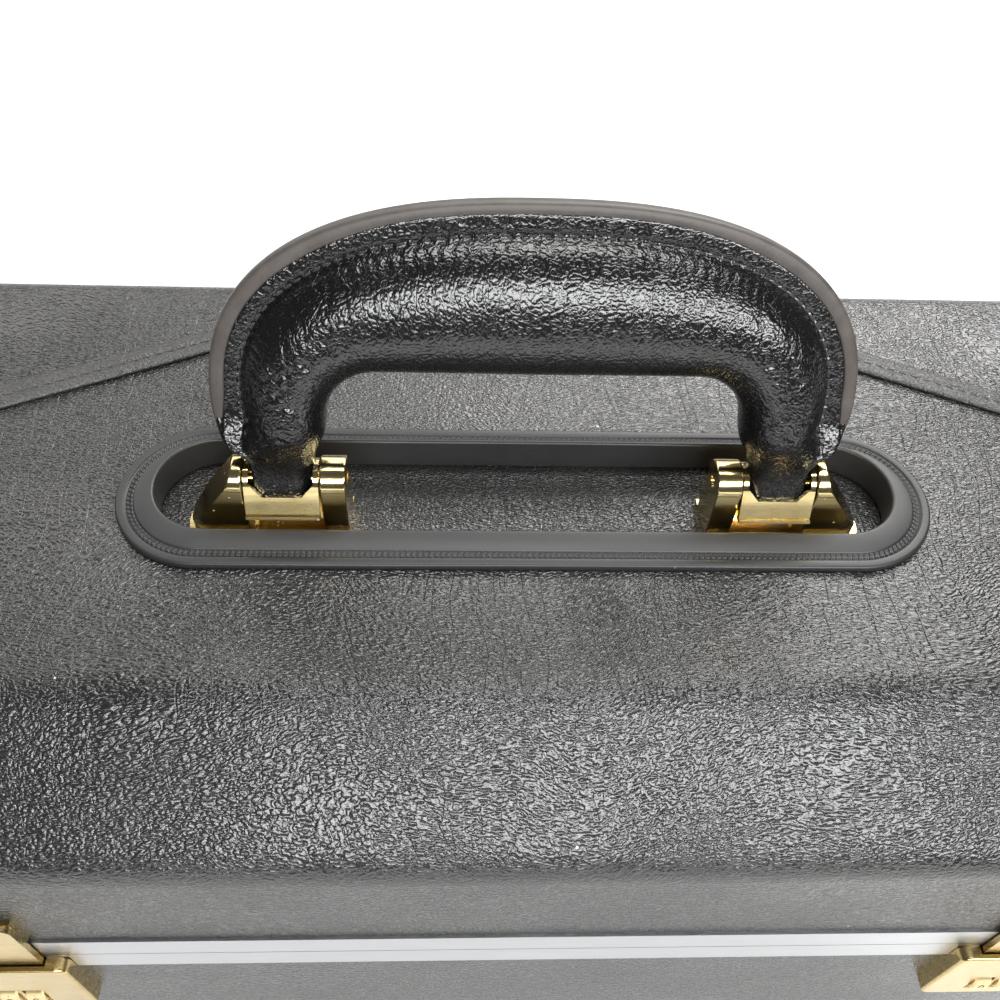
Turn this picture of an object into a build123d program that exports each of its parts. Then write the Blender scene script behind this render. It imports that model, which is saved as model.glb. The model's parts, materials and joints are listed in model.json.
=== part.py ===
from build123d import *

import math
import os

os.makedirs("parts", exist_ok=True)

# All sizes are in millimetres. +Z is up, -Y is the front with the locks, +Y is the back
# with the hinge. The origin is under the middle of the case, on the floor.

# Overall case
case_width = 456.0
case_depth = 176.0
foot_height = 8.0
body_top = 258.0
case_top = 338.0
parting_gap = 0.3
edge_radius = 7.0

# Wall layers, from outside in
skin = 1.2
board = 3.0
lining = 0.8
wall = skin + board + lining

# Lid profile: flat top, soft front bend, sloped shoulder, front wall
shoulder_reach = 32.0
shoulder_angle = 40.0
front_bend_radius = 14.0
shoulder_foot_radius = 12.0
back_edge_radius = 9.0

# Aluminium rim frames
rim_height = 10.0
rim_web = 2.0
rim_lip = 0.8
rim_inner = 1.0
tongue_rise = 6.0
tongue_thickness = 1.6
tongue_gap = 0.6

# Back yoke panel laid over the lid cover
yoke_thickness = 1.0
seam_x = 110.0
seam_y = 45.5
seam_slope = 0.455
seam_mid_half = 60.0
yoke_drop = 60.0

# Bezel and handle well
bezel_proud = 2.0
bezel_flange = 7.5
bezel_half_width = 22.9
bezel_radius = 0.9
collar_sink = 0.5
well_end_gap = 9.3
well_half_width = 14.7
well_offset = 3.0
well_depth = 10.0
collar_wall = 1.5
collar_gap = 0.6
seat_gap = 0.2
well_flange = 13.0
well_floor_board = 3.0
well_cover = 1.0

# Handle brackets, measured from the pivot line
pivot_y = -2.0
pivot_rise = 8.0
ear_radius = 5.7
slot_center = 61.7
slot_width = 18.8
inner_ear = 6.4
outer_ear = 3.6
bracket_slant = 12.0
bracket_base = 2.0
base_front_reach = 3.0
base_back_reach = 1.6
base_rim = 0.8
slot_floor = 1.6
pin_radius = 1.5
pin_clearance = 0.05
rivet_radius = 1.6
rivet_head_radius = 3.2
rivet_head = 1.4
rivet_tip = 0.5
outer_rivet_offset = 8.0
slant_start = 0.4
slant_drop = 4.0
slant_lean = 1.0
ear_edge = 0.5
pin_end_inset = 0.4
pin_wall = 1.4
backing_thickness = 1.5
backing_inset = 8.0
backing_width = 22.0

# Stirrups that hold the handle ends
side_clearance = 0.3
stirrup_sheet = 1.2
stirrup_gusset_rise = 3.6
stirrup_gusset_width = 3.0
stirrup_lip = 0.7
stirrup_lip_height = 0.8
stirrup_drop = 9.0
stirrup_half_depth = 5.0
stirrup_plate_top = -3.0

# Handle, in its own plane: x along the case, s up from the pivot, tilted back at rest
handle_tilt = 20.0
handle_top = 70.0
handle_window_top = 29.0
handle_crown_half = 50.0
handle_crown_drop = 7.5
handle_half_width = 77.0
handle_widest = 20.0
window_half_width = 49.5
window_corner = 13.0
leg_start = 7.2
leg_bend = (2.5, 2.0)
leg_flare = (1.6, 3.0)
shoulder_bulge = (8.0, 6.5)
leg_wrap = 0.3
leg_side_gap = 0.1
grip_half_thickness = 11.0
grip_full_at = 20.0
grip_flange = 9.0
grip_edge_half = 4.0
core_half_thickness = 2.4
core_half_width = 5.5
core_rise = 46.0
core_bar_half = 42.0
core_bend = 24.0
core_foot_rise = 0.5

# Back hinge
hinge_length = 400.0
hinge_knuckles = 10
knuckle_radius = 3.4
knuckle_gap = 0.3
hinge_out = 3.6
leaf_thickness = 1.0
leaf_height = 16.0
leaf_start = 3.0
hinge_pin_radius = 1.2
hinge_running = 0.05
hinge_screws = 8
hinge_screw_edge = 4.0
hinge_screw_radius = 1.2
hinge_screw_head = 2.4
hinge_screw_head_rise = 0.8
screw_end_cover = 0.6

# Combination locks
lock_x = 150.0
lock_width = 62.0
lock_bottom = 222.0
lock_height = 34.0
lock_out = 4.6
lock_face = 1.4
lock_corner = 3.0
lock_round = 0.8
lock_wall = 2.0
dial_radius = 6.0
dial_width = 5.0
dial_pitch = 7.0
dial_count = 3
dial_center = -10.0
dial_z = 233.0
dial_inset = 0.2
dial_running = 0.05
dial_chamfer = 0.5
dial_slot_gap = 0.3
dial_back_gap = 1.0
dial_window_gap = 0.5
axle_radius = 1.2
lug_thickness = 1.5
lug_half_height = 3.0
lug_wall = 1.5
lug_gap = 0.6
hasp_center = -12.0
hasp_width = 26.0
hasp_thickness = 1.5
hasp_stand_off = 1.2
hasp_bottom = 245.0
hasp_top = 284.0
hasp_pad_bottom = 270.0
hasp_screw_inset = 3.5
hasp_rivet_head_radius = 2.6
hasp_rivet_head = 1.0
hasp_clearance = 0.4
notch_depth = 5.0
bolt_z = 249.5
bolt_height = 4.0
bolt_travel = 4.5
bolt_gap = 0.5
bolt_end = 21.0
notch_clearance = 0.8
slide_clearance = 0.5
slide_round = 0.6
button_width = 11.0
button_height = 9.0
button_out = 7.0
button_center = 15.0
stem_width = 6.0
stem_height = 4.0
button_gap = 0.3
button_drop = 0.5
pocket_margin = 3.0
pocket_rise = 2.0
back_cover_flange = 3.0
back_cover = 1.0

# Feet
foot_radius = 8.0
foot_round = 2.5
foot_x = 198.0
foot_y = 62.0
foot_screw_radius = 1.8
foot_screw_head = 3.6
foot_screw_head_gap = 0.1
foot_screw_recess = 1.0
foot_screw_head_height = 2.0

half_width = case_width / 2
half_depth = case_depth / 2
ear_left = slot_center - slot_width / 2 - inner_ear
ear_right = slot_center + slot_width / 2 + outer_ear
bracket_end = ear_right + bracket_slant
well_half_length = bracket_end + well_end_gap
collar_half_length = well_half_length + collar_wall
collar_half_width = well_half_width + collar_wall
bezel_half_length = collar_half_length + bezel_flange
lid_bottom = body_top + parting_gap
bezel_top = case_top + bezel_proud
pivot_z = bezel_top + pivot_rise
floor_top = bezel_top - well_depth
hinge_y = half_depth + hinge_out
hinge_z = body_top + parting_gap / 2
handle_plane = Plane(
    origin=(0, pivot_y, pivot_z),
    x_dir=(1, 0, 0),
    z_dir=(0, -math.cos(math.radians(handle_tilt)), math.sin(math.radians(handle_tilt))),
)
handle_side = Plane(
    origin=(0, pivot_y, pivot_z),
    x_dir=(0, math.cos(math.radians(handle_tilt)), -math.sin(math.radians(handle_tilt))),
    z_dir=(1, 0, 0),
)


def save(piece, name):
    piece.part.label = name
    export_step(piece.part, f"parts/{name}.step")


def box_from(low, high, mode=Mode.ADD):
    """A box between two opposite corners."""
    center = [(a + b) / 2 for a, b in zip(low, high)]
    with Locations(Location(center)):
        Box(*[b - a for a, b in zip(low, high)], mode=mode)


def body_block(inset, low, high, mode=Mode.ADD, rounded_base=True):
    """The case body's outer form, moved in by inset, between two heights."""
    radius = max(edge_radius - inset, 0.5)
    with BuildPart(mode=Mode.PRIVATE) as block:
        with BuildSketch(Plane.XY.offset(low)):
            RectangleRounded(case_width - 2 * inset, case_depth - 2 * inset, radius)
        extrude(amount=high - low)
        if rounded_base:
            fillet(block.edges().group_by(Axis.Z)[0], radius)
    add(block.part, mode=mode)


def lid_block(inset, low, mode=Mode.ADD):
    """The lid's outer form, moved in by inset, from a height up."""
    slope = math.radians(shoulder_angle)
    side = half_depth - inset
    shoulder_z = case_top - shoulder_reach * math.tan(slope)
    foot_z = shoulder_z + inset * math.tan(slope) - inset / math.cos(slope)
    bend_y = -half_depth + shoulder_reach + inset * (1 / math.cos(slope) - 1) / math.tan(slope)
    with BuildPart(mode=Mode.PRIVATE) as block:
        with BuildSketch(Plane.YZ) as profile:
            with BuildLine():
                Polyline(
                    (-side, low),
                    (-side, foot_z),
                    (bend_y, case_top - inset),
                    (side, case_top - inset),
                    (side, low),
                    close=True,
                )
            make_face()
            foot_corner = profile.vertices().filter_by_position(Axis.Y, foot_z - 0.1, foot_z + 0.1)
            fillet(foot_corner, shoulder_foot_radius - inset)
            bend = profile.vertices().filter_by_position(Axis.X, bend_y - 0.1, bend_y + 0.1)
            fillet(bend, front_bend_radius - inset)
            back = profile.vertices().filter_by_position(
                Axis.Y, case_top - inset - 0.1, case_top - inset + 0.1
            )
            fillet(back.sort_by(Axis.X)[-1], back_edge_radius - inset)
        extrude(amount=half_width - inset, both=True)
        ends = block.faces().group_by(Axis.X)[0] + block.faces().group_by(Axis.X)[-1]
        loops = [e for face in ends for e in face.edges() if e.center().Z > low + 0.01]
        fillet(loops, edge_radius - inset)
    add(block.part, mode=mode)


def wall_layer(outer, inner):
    """One layer of the body's walls and floor, open at the top."""
    with BuildPart() as piece:
        body_block(outer, foot_height + outer, body_top - rim_web)
        body_block(inner, foot_height + inner, body_top + 1, Mode.SUBTRACT)
    return piece


def ring(outer, inner, low, high, mode=Mode.ADD):
    """A band that follows the case walls between two insets."""
    with BuildPart(mode=Mode.PRIVATE) as band:
        body_block(outer, low, high, rounded_base=False)
        body_block(inner, low - 1, high + 1, Mode.SUBTRACT, rounded_base=False)
    add(band.part, mode=mode)


def stadium(half_length, half_height, y, low, high, mode=Mode.ADD):
    """An upright plate with round ends."""
    with BuildPart(mode=Mode.PRIVATE) as plate:
        with BuildSketch(Plane.XY.offset(low)):
            with Locations((0, y)):
                SlotOverall(2 * half_length, 2 * half_height)
        extrude(amount=high - low)
    add(plate.part, mode=mode)


def rod(axis, start, radius, length, mode=Mode.ADD):
    """A round bar along X, Y or Z from its start point."""
    turn = {"X": (0, 90, 0), "Y": (-90, 0, 0), "Z": (0, 0, 0)}[axis]
    with Locations(Location(start, turn)):
        Cylinder(radius, length, align=(Align.CENTER, Align.CENTER, Align.MIN), mode=mode)


def hinge_screw_places(side):
    """Screw centres on one hinge leaf, side +1 for the lid and -1 for the body."""
    pitch = hinge_length / hinge_screws
    z = hinge_z + side * (leaf_start + leaf_height - hinge_screw_edge)
    return [(-hinge_length / 2 + pitch * (i + 0.5), z) for i in range(hinge_screws)]


def screw_holes(places, depth):
    """Holes along Y for the hinge screws, from the back face inwards."""
    for x, z in places:
        rod("Y", (x, half_depth - depth, z), hinge_screw_radius, depth + 2, Mode.SUBTRACT)


rivet_x = (slot_center - slot_width / 2 - inner_ear / 2,
           slot_center + slot_width / 2 + outer_rivet_offset)
lock_sides = ((-1, "left"), (1, "right"))
pocket_low = dial_z - dial_radius - pocket_rise
pocket_high = dial_z + dial_radius + pocket_rise
dial_bank = dial_pitch * (dial_count - 1) + dial_width
pocket_left = dial_center - dial_bank / 2 - lug_thickness - pocket_margin
pocket_right = dial_center + dial_bank / 2 + lug_thickness + pocket_margin
hasp_screw_z = (hasp_pad_bottom + hasp_screw_inset, hasp_top - hasp_screw_inset)


def across(side, a, b):
    """The two X ends of a lock feature, mirrored about the lock centre for the left side."""
    ends = sorted((side * (lock_x + a), side * (lock_x + b)))
    return ends[0], ends[1]


def lock_box(side, a, b, y0, y1, z0, z1, mode=Mode.ADD):
    x0, x1 = across(side, a, b)
    box_from((x0, y0, z0), (x1, y1, z1), mode)


def cut_lock_pockets(inner):
    """Openings through a wall layer for the dials."""
    for side, _ in lock_sides:
        lock_box(side, pocket_left, pocket_right, -half_depth - 1, -half_depth + inner + 1,
                 pocket_low, pocket_high, Mode.SUBTRACT)


# ---- Body shell layers ----
for name, outer, inner in (
    ("body_cover", 0, skin),
    ("body_board", skin, skin + board),
    ("body_lining", skin + board, wall),
):
    piece = wall_layer(outer, inner)
    with piece:
        cut_lock_pockets(inner)
        screw_holes(hinge_screw_places(-1), wall - screw_end_cover)
        for x in (-foot_x, foot_x):
            for y in (-foot_y, foot_y):
                rod("Z", (x, y, 0), foot_screw_radius, foot_height + skin + board, Mode.SUBTRACT)
    save(piece, name)

# ---- Lid shell layers ----
frame_half_length = collar_half_length + well_flange
frame_half_width = collar_half_width + well_flange
for name, outer, inner in (
    ("lid_cover", 0, skin),
    ("lid_board", skin, skin + board),
    ("lid_lining", skin + board, wall),
):
    with BuildPart() as piece:
        lid_block(outer, lid_bottom + rim_web)
        lid_block(inner, lid_bottom - 1, Mode.SUBTRACT)
        if name == "lid_lining":
            stadium(frame_half_length + seat_gap, frame_half_width + seat_gap, well_offset,
                    case_top - wall - 1, case_top, Mode.SUBTRACT)
        else:
            stadium(collar_half_length + seat_gap, collar_half_width + seat_gap, well_offset,
                    case_top - wall - 1, case_top + 1, Mode.SUBTRACT)
        screw_holes(hinge_screw_places(1), wall - screw_end_cover)
        for side, _ in lock_sides:
            for z in hasp_screw_z:
                x = side * (lock_x + hasp_center)
                rod("Y", (x, -half_depth - 1, z), rivet_radius, wall + 2, Mode.SUBTRACT)
    save(piece, name)

# ---- Rim frames: channels round the two mouths ----
def clear_rim_for_hinge():
    """Take the rim's outer lip away where the hinge leaves lie."""
    box_from(
        (-hinge_length / 2 - seat_gap, half_depth, body_top - 2 * rim_height),
        (hinge_length / 2 + seat_gap, half_depth + 5, body_top + 2 * rim_height),
        Mode.SUBTRACT,
    )


with BuildPart() as body_rim:
    ring(-rim_lip, wall + rim_inner, body_top - rim_height, body_top)
    ring(0, wall, body_top - rim_height - 1, body_top - rim_web, Mode.SUBTRACT)
    tongue_out = wall + tongue_gap
    ring(tongue_out, tongue_out + tongue_thickness, body_top - rim_height, body_top + tongue_rise)
    clear_rim_for_hinge()
    for side, _ in lock_sides:
        lock_box(side, -lock_width / 2 - seat_gap, lock_width / 2 + seat_gap, -half_depth - 5,
                 -half_depth, body_top - 2 * rim_height, lock_bottom + lock_height, Mode.SUBTRACT)
save(body_rim, "body_rim")

with BuildPart() as lid_rim:
    ring(-rim_lip, wall, lid_bottom, lid_bottom + rim_height)
    ring(0, wall + 1, lid_bottom + rim_web, lid_bottom + rim_height + 1, Mode.SUBTRACT)
    clear_rim_for_hinge()
save(lid_rim, "lid_rim")

# ---- Yoke panel: laid over the back of the lid, with diagonal front edges ----
with BuildPart() as yoke_panel:
    lid_block(-yoke_thickness, case_top - yoke_drop)
    lid_block(0, case_top - yoke_drop - 1, Mode.SUBTRACT)
    seam_mid_y = seam_y + seam_slope * (seam_x - seam_mid_half)
    seam_side_y = seam_y - seam_slope * (half_width + 5 - seam_x)
    with BuildSketch(Plane.XY.offset(case_top - yoke_drop - 1)):
        with BuildLine():
            Polyline(
                (-half_width - 5, -half_depth - 5),
                (-half_width - 5, seam_side_y),
                (-seam_mid_half, seam_mid_y),
                (seam_mid_half, seam_mid_y),
                (half_width + 5, seam_side_y),
                (half_width + 5, -half_depth - 5),
                close=True,
            )
        make_face()
    extrude(amount=yoke_drop + 5, mode=Mode.SUBTRACT)
save(yoke_panel, "yoke_panel")

# ---- Bezel: flange on the lid and a collar down into the well ----
collar_bottom = floor_top + collar_gap
with BuildPart() as bezel:
    stadium(bezel_half_length, bezel_half_width, 0, case_top, bezel_top)
    fillet(bezel.edges().group_by(Axis.Z)[-1], bezel_radius)
    stadium(collar_half_length, collar_half_width, well_offset, collar_bottom,
            bezel_top - collar_sink)
    stadium(well_half_length, well_half_width, well_offset, collar_bottom - 1, bezel_top + 1,
            Mode.SUBTRACT)
    lip = [e for e in bezel.edges().group_by(Axis.Z)[-1]
           if abs(e.bounding_box().max.Y - well_offset) < well_half_width + 0.1]
    fillet(lip, bezel_radius)
save(bezel, "bezel")

# ---- Handle well under the lid board ----
frame_top = case_top - skin - board
plate_top = floor_top - well_cover
plate_bottom = plate_top - well_floor_board
with BuildPart() as well_frame:
    stadium(frame_half_length, frame_half_width, well_offset, plate_top, frame_top)
    stadium(collar_half_length + seat_gap, collar_half_width + seat_gap, well_offset,
            plate_top - 1, frame_top + 1, Mode.SUBTRACT)
save(well_frame, "well_frame")


def cut_rivets(low, high):
    for side in (-1, 1):
        for x in rivet_x:
            rod("Z", (side * x, pivot_y, low), rivet_radius, high - low, Mode.SUBTRACT)


with BuildPart() as well_floor:
    stadium(frame_half_length, frame_half_width, well_offset, plate_bottom, plate_top)
    cut_rivets(plate_bottom - 1, plate_top + 1)
save(well_floor, "well_floor")

with BuildPart() as well_lining:
    stadium(collar_half_length, collar_half_width, well_offset, plate_top, floor_top)
    cut_rivets(plate_top - 1, floor_top + 1)
save(well_lining, "well_lining")

with BuildPart() as backing_plate:
    backing_bottom = plate_bottom - backing_thickness
    stadium(frame_half_length - backing_inset, backing_width / 2, pivot_y, backing_bottom,
            plate_bottom)
    cut_rivets(backing_bottom - 1, plate_bottom + 1)
save(backing_plate, "handle_backing_plate")

rivet_top = floor_top + bracket_base + rivet_tip
with BuildPart() as bracket_rivets:
    for side in (-1, 1):
        for x in rivet_x:
            rod("Z", (side * x, pivot_y, backing_bottom - rivet_head), rivet_head_radius, rivet_head)
            rod("Z", (side * x, pivot_y, backing_bottom), rivet_radius, rivet_top - backing_bottom)
save(bracket_rivets, "bracket_rivets")

# ---- Handle brackets: two ears with a slot between, the outer end slanted ----
slot_bottom = floor_top + bracket_base + slot_floor
base_y = pivot_y + (base_back_reach - base_front_reach) / 2
base_half_depth = ear_radius + (base_back_reach + base_front_reach) / 2
with BuildPart() as bracket:
    with BuildSketch(Plane.YZ.offset(ear_left)):
        with Locations((pivot_y, pivot_z)):
            Circle(ear_radius)
        with Locations((pivot_y, (pivot_z + floor_top) / 2)):
            Rectangle(2 * ear_radius, pivot_z - floor_top)
    extrude(amount=bracket_end - ear_left)
    # the outer end falls steeply past the ear, then on a slant, and is round seen from above
    with BuildSketch(Plane.XZ.offset(-pivot_y)):
        with BuildLine():
            Polyline(
                (ear_right - slant_start - slant_lean, pivot_z + ear_radius + 1),
                (ear_right + slant_start, pivot_z + ear_radius - slant_drop),
                (bracket_end + 1, floor_top + bracket_base),
                (bracket_end + ear_radius, pivot_z + ear_radius + 1),
                close=True,
            )
        make_face()
    extrude(amount=ear_radius + 2, both=True, mode=Mode.SUBTRACT)
    with BuildSketch(Plane.XY.offset(floor_top)):
        with Locations(((ear_left + bracket_end) / 2 - ear_radius, pivot_y)):
            Rectangle(bracket_end - ear_left, 2 * ear_radius)
        with Locations((bracket_end - ear_radius, pivot_y)):
            Circle(ear_radius)
    extrude(amount=pivot_z - floor_top + ear_radius, mode=Mode.INTERSECT)
    with BuildSketch(Plane.XY.offset(floor_top)):
        with Locations(((ear_left + bracket_end - ear_radius) / 2, base_y)):
            Rectangle(bracket_end - ear_radius - ear_left, 2 * base_half_depth)
        with Locations((bracket_end - ear_radius, base_y)):
            Ellipse(ear_radius + base_rim, base_half_depth)
    extrude(amount=bracket_base)
    box_from(
        (slot_center - slot_width / 2, base_y - base_half_depth - 1, slot_bottom),
        (slot_center + slot_width / 2, base_y + base_half_depth + 1, pivot_z + ear_radius + 1),
        Mode.SUBTRACT,
    )
    crowns = [e for e in bracket.edges() if e.center().Z > pivot_z and e.length > ear_radius]
    fillet(crowns, ear_edge)
    rod("X", (ear_left - 1, pivot_y, pivot_z), pin_radius + pin_clearance,
        ear_right - ear_left, Mode.SUBTRACT)
    for x in rivet_x:
        rod("Z", (x, pivot_y, floor_top - 1), rivet_radius, rivet_top - floor_top + 1, Mode.SUBTRACT)
save(bracket, "bracket_right")

with BuildPart() as bracket_left:
    add(bracket.part.mirror(Plane.YZ))
save(bracket_left, "bracket_left")

pin_left = ear_left + pin_end_inset
pin_length = ear_right - pin_wall - pin_left
with BuildPart() as pivot_pins:
    rod("X", (pin_left, pivot_y, pivot_z), pin_radius, pin_length)
    rod("X", (-pin_left - pin_length, pivot_y, pivot_z), pin_radius, pin_length)
save(pivot_pins, "pivot_pins")

# ---- Stirrups: sheet metal cups that hold the handle ends ----
stirrup_half = slot_width / 2 - side_clearance
inside_half = stirrup_half - stirrup_sheet
gusset_top = stirrup_plate_top + stirrup_gusset_rise
with BuildPart() as stirrup:
    with BuildSketch(handle_side.offset(slot_center - stirrup_half)) as cheek:
        Circle(stirrup_half_depth)
        with Locations((0, -stirrup_drop / 2)):
            Rectangle(2 * stirrup_half_depth, stirrup_drop)
    extrude(amount=2 * stirrup_half)
    with BuildSketch(handle_side.offset(slot_center - inside_half)):
        with Locations((0, (handle_widest - stirrup_drop + stirrup_sheet) / 2)):
            Rectangle(
                2 * (stirrup_half_depth - stirrup_sheet),
                handle_widest + stirrup_drop - stirrup_sheet,
            )
    extrude(amount=2 * inside_half, mode=Mode.SUBTRACT)
    # the front and back plates open upwards between two sloping gussets
    with BuildSketch(handle_plane):
        with BuildLine():
            Polyline(
                (slot_center - inside_half, handle_widest),
                (slot_center - inside_half, gusset_top),
                (slot_center - inside_half + stirrup_gusset_width, stirrup_plate_top),
                (slot_center + inside_half - stirrup_gusset_width, stirrup_plate_top),
                (slot_center + inside_half, gusset_top),
                (slot_center + inside_half, handle_widest),
                close=True,
            )
        make_face()
    extrude(amount=2 * stirrup_half_depth, both=True, mode=Mode.SUBTRACT)
    # the bottom edges turn out into a small lip
    with BuildSketch(handle_side.offset(slot_center - stirrup_half)):
        with Locations((0, -stirrup_drop + stirrup_lip_height / 2)):
            Rectangle(2 * (stirrup_half_depth + stirrup_lip), stirrup_lip_height)
    extrude(amount=2 * stirrup_half)
    rod("X", (slot_center - slot_width, pivot_y, pivot_z), pin_radius, 2 * slot_width,
        Mode.SUBTRACT)
save(stirrup, "stirrup_right")

with BuildPart() as stirrup_left:
    add(stirrup.part.mirror(Plane.YZ))
save(stirrup_left, "stirrup_left")

# ---- Handle: padded grip round a core ----
end_s = -stirrup_drop + stirrup_sheet
leg_half = inside_half - leg_wrap
end_half_thickness = stirrup_half_depth - stirrup_sheet - leg_side_gap
shoulder_s = (handle_top - handle_crown_drop + handle_widest) / 2


def half_outline(side):
    """One half of the grip's outline: leg, shoulder and half of the crown."""
    inner_x = side * (slot_center - leg_half)
    outer_x = side * (slot_center + leg_half)
    crown_x = side * handle_crown_half
    wide_x = side * handle_half_width
    corner_s = handle_window_top - window_corner
    Line((0, handle_window_top), (side * (window_half_width - window_corner), handle_window_top))
    ThreePointArc(
        (side * (window_half_width - window_corner), handle_window_top),
        (
            side * (window_half_width - window_corner + window_corner * math.sin(math.radians(45))),
            corner_s + window_corner * math.cos(math.radians(45)),
        ),
        (side * window_half_width, corner_s),
    )
    Polyline(
        (side * window_half_width, corner_s),
        (inner_x - side * leg_bend[0], leg_start + leg_bend[1]),
        (inner_x, leg_start),
        (inner_x, end_s),
        (outer_x, end_s),
        (outer_x, leg_start),
        (wide_x - side * leg_flare[0], leg_start + leg_flare[1]),
        (wide_x, handle_widest),
    )
    ThreePointArc(
        (wide_x, handle_widest),
        (side * (handle_half_width - shoulder_bulge[0]), shoulder_s + shoulder_bulge[1]),
        (crown_x, handle_top - handle_crown_drop),
    )
    ThreePointArc(
        (crown_x, handle_top - handle_crown_drop),
        (side * handle_crown_half / 2, handle_top - handle_crown_drop / 4),
        (0, handle_top),
    )


def cut_pin_holes():
    for side in (-1, 1):
        rod("X", (side * slot_center - slot_width, pivot_y, pivot_z), pin_radius, 2 * slot_width,
            Mode.SUBTRACT)


def core_band(mode=Mode.ADD):
    """The flat core: a bar bent down at both ends into legs that reach the pins."""
    foot = end_s + core_half_width + core_foot_rise
    with BuildPart(mode=Mode.PRIVATE) as band:
        with BuildSketch(handle_plane):
            with BuildLine() as path:
                Polyline(
                    (-slot_center, foot),
                    (-slot_center, core_bend),
                    (-core_bar_half, core_rise),
                    (core_bar_half, core_rise),
                    (slot_center, core_bend),
                    (slot_center, foot),
                )
            trace(line_width=2 * core_half_width)
        extrude(amount=core_half_thickness, both=True)
        cut_pin_holes()
    add(band.part, mode=mode)


with BuildPart() as handle_core:
    core_band()
save(handle_core, "handle_core")

with BuildPart() as handle_grip:
    with BuildSketch(handle_plane):
        with BuildLine():
            half_outline(1)
            half_outline(-1)
        make_face()
    extrude(amount=grip_half_thickness, both=True)
    with BuildSketch(handle_side.offset(-half_width)):
        with BuildLine():
            Polyline(
                (-end_half_thickness, end_s - 1),
                (-end_half_thickness, gusset_top),
                (-grip_half_thickness, grip_full_at),
                (-grip_half_thickness, handle_top - grip_flange),
                (-grip_edge_half, handle_top + 1),
                (grip_edge_half, handle_top + 1),
                (grip_half_thickness, handle_top - grip_flange),
                (grip_half_thickness, grip_full_at),
                (end_half_thickness, gusset_top),
                (end_half_thickness, end_s - 1),
                close=True,
            )
        make_face()
    extrude(amount=case_width, mode=Mode.INTERSECT)
    core_band(Mode.SUBTRACT)
    cut_pin_holes()
save(handle_grip, "handle_grip")

# ---- Back hinge: two leaves with alternating knuckles on one pin ----
knuckle_pitch = hinge_length / hinge_knuckles


def hinge_leaf(side, first):
    """One leaf: side +1 goes up on the lid, -1 goes down on the body."""
    with BuildPart() as leaf:
        low, high = sorted((hinge_z + side * leaf_start, hinge_z + side * (leaf_start + leaf_height)))
        box_from((-hinge_length / 2, half_depth, low),
                 (hinge_length / 2, half_depth + leaf_thickness, high))
        for i in range(first, hinge_knuckles, 2):
            x0 = -hinge_length / 2 + i * knuckle_pitch + knuckle_gap / 2
            x1 = x0 + knuckle_pitch - knuckle_gap
            rod("X", (x0, hinge_y, hinge_z), knuckle_radius, x1 - x0)
            near, far = sorted((hinge_z, hinge_z + side * (leaf_start + 1)))
            box_from((x0, half_depth + seat_gap, near),
                     (x1, half_depth + seat_gap + leaf_thickness, far))
        bore = hinge_pin_radius + (hinge_running if side > 0 else 0)
        rod("X", (-hinge_length / 2 - 1, hinge_y, hinge_z), bore, hinge_length + 2, Mode.SUBTRACT)
        screw_holes(hinge_screw_places(side), 0)
    return leaf


save(hinge_leaf(1, 1), "hinge_leaf_lid")
save(hinge_leaf(-1, 0), "hinge_leaf_body")

with BuildPart() as hinge_pin:
    rod("X", (-hinge_length / 2, hinge_y, hinge_z), hinge_pin_radius, hinge_length)
save(hinge_pin, "hinge_pin")

for side, name in ((1, "hinge_screws_lid"), (-1, "hinge_screws_body")):
    with BuildPart() as screws:
        for x, z in hinge_screw_places(side):
            rod("Y", (x, half_depth - wall + screw_end_cover, z), hinge_screw_radius,
                wall + leaf_thickness)
            rod("Y", (x, half_depth + leaf_thickness, z), hinge_screw_head, hinge_screw_head_rise)
    save(screws, name)

# ---- Combination locks ----
lock_top = lock_bottom + lock_height
lock_front = -half_depth - lock_out
face_back = lock_front + lock_face
hasp_back = -half_depth - hasp_stand_off
hasp_front = hasp_back - hasp_thickness
hasp_left = hasp_center - hasp_width / 2
hasp_right = hasp_center + hasp_width / 2
bolt_left = hasp_right + bolt_gap
axle_y = -half_depth + dial_inset
window_half = math.sqrt(dial_radius**2 - (axle_y - face_back) ** 2) + dial_window_gap
dial_places = [dial_center + dial_pitch * (i - (dial_count - 1) / 2) for i in range(dial_count)]
bank_left = dial_places[0] - dial_width / 2 - lug_gap
bank_right = dial_places[-1] + dial_width / 2 + lug_gap
stem_left = button_center - stem_width / 2
half_lock = lock_width / 2


def rod_across(side, a, b, y, z, radius, mode=Mode.ADD):
    x0, x1 = across(side, a, b)
    rod("X", (x0, y, z), radius, x1 - x0, mode)


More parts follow.
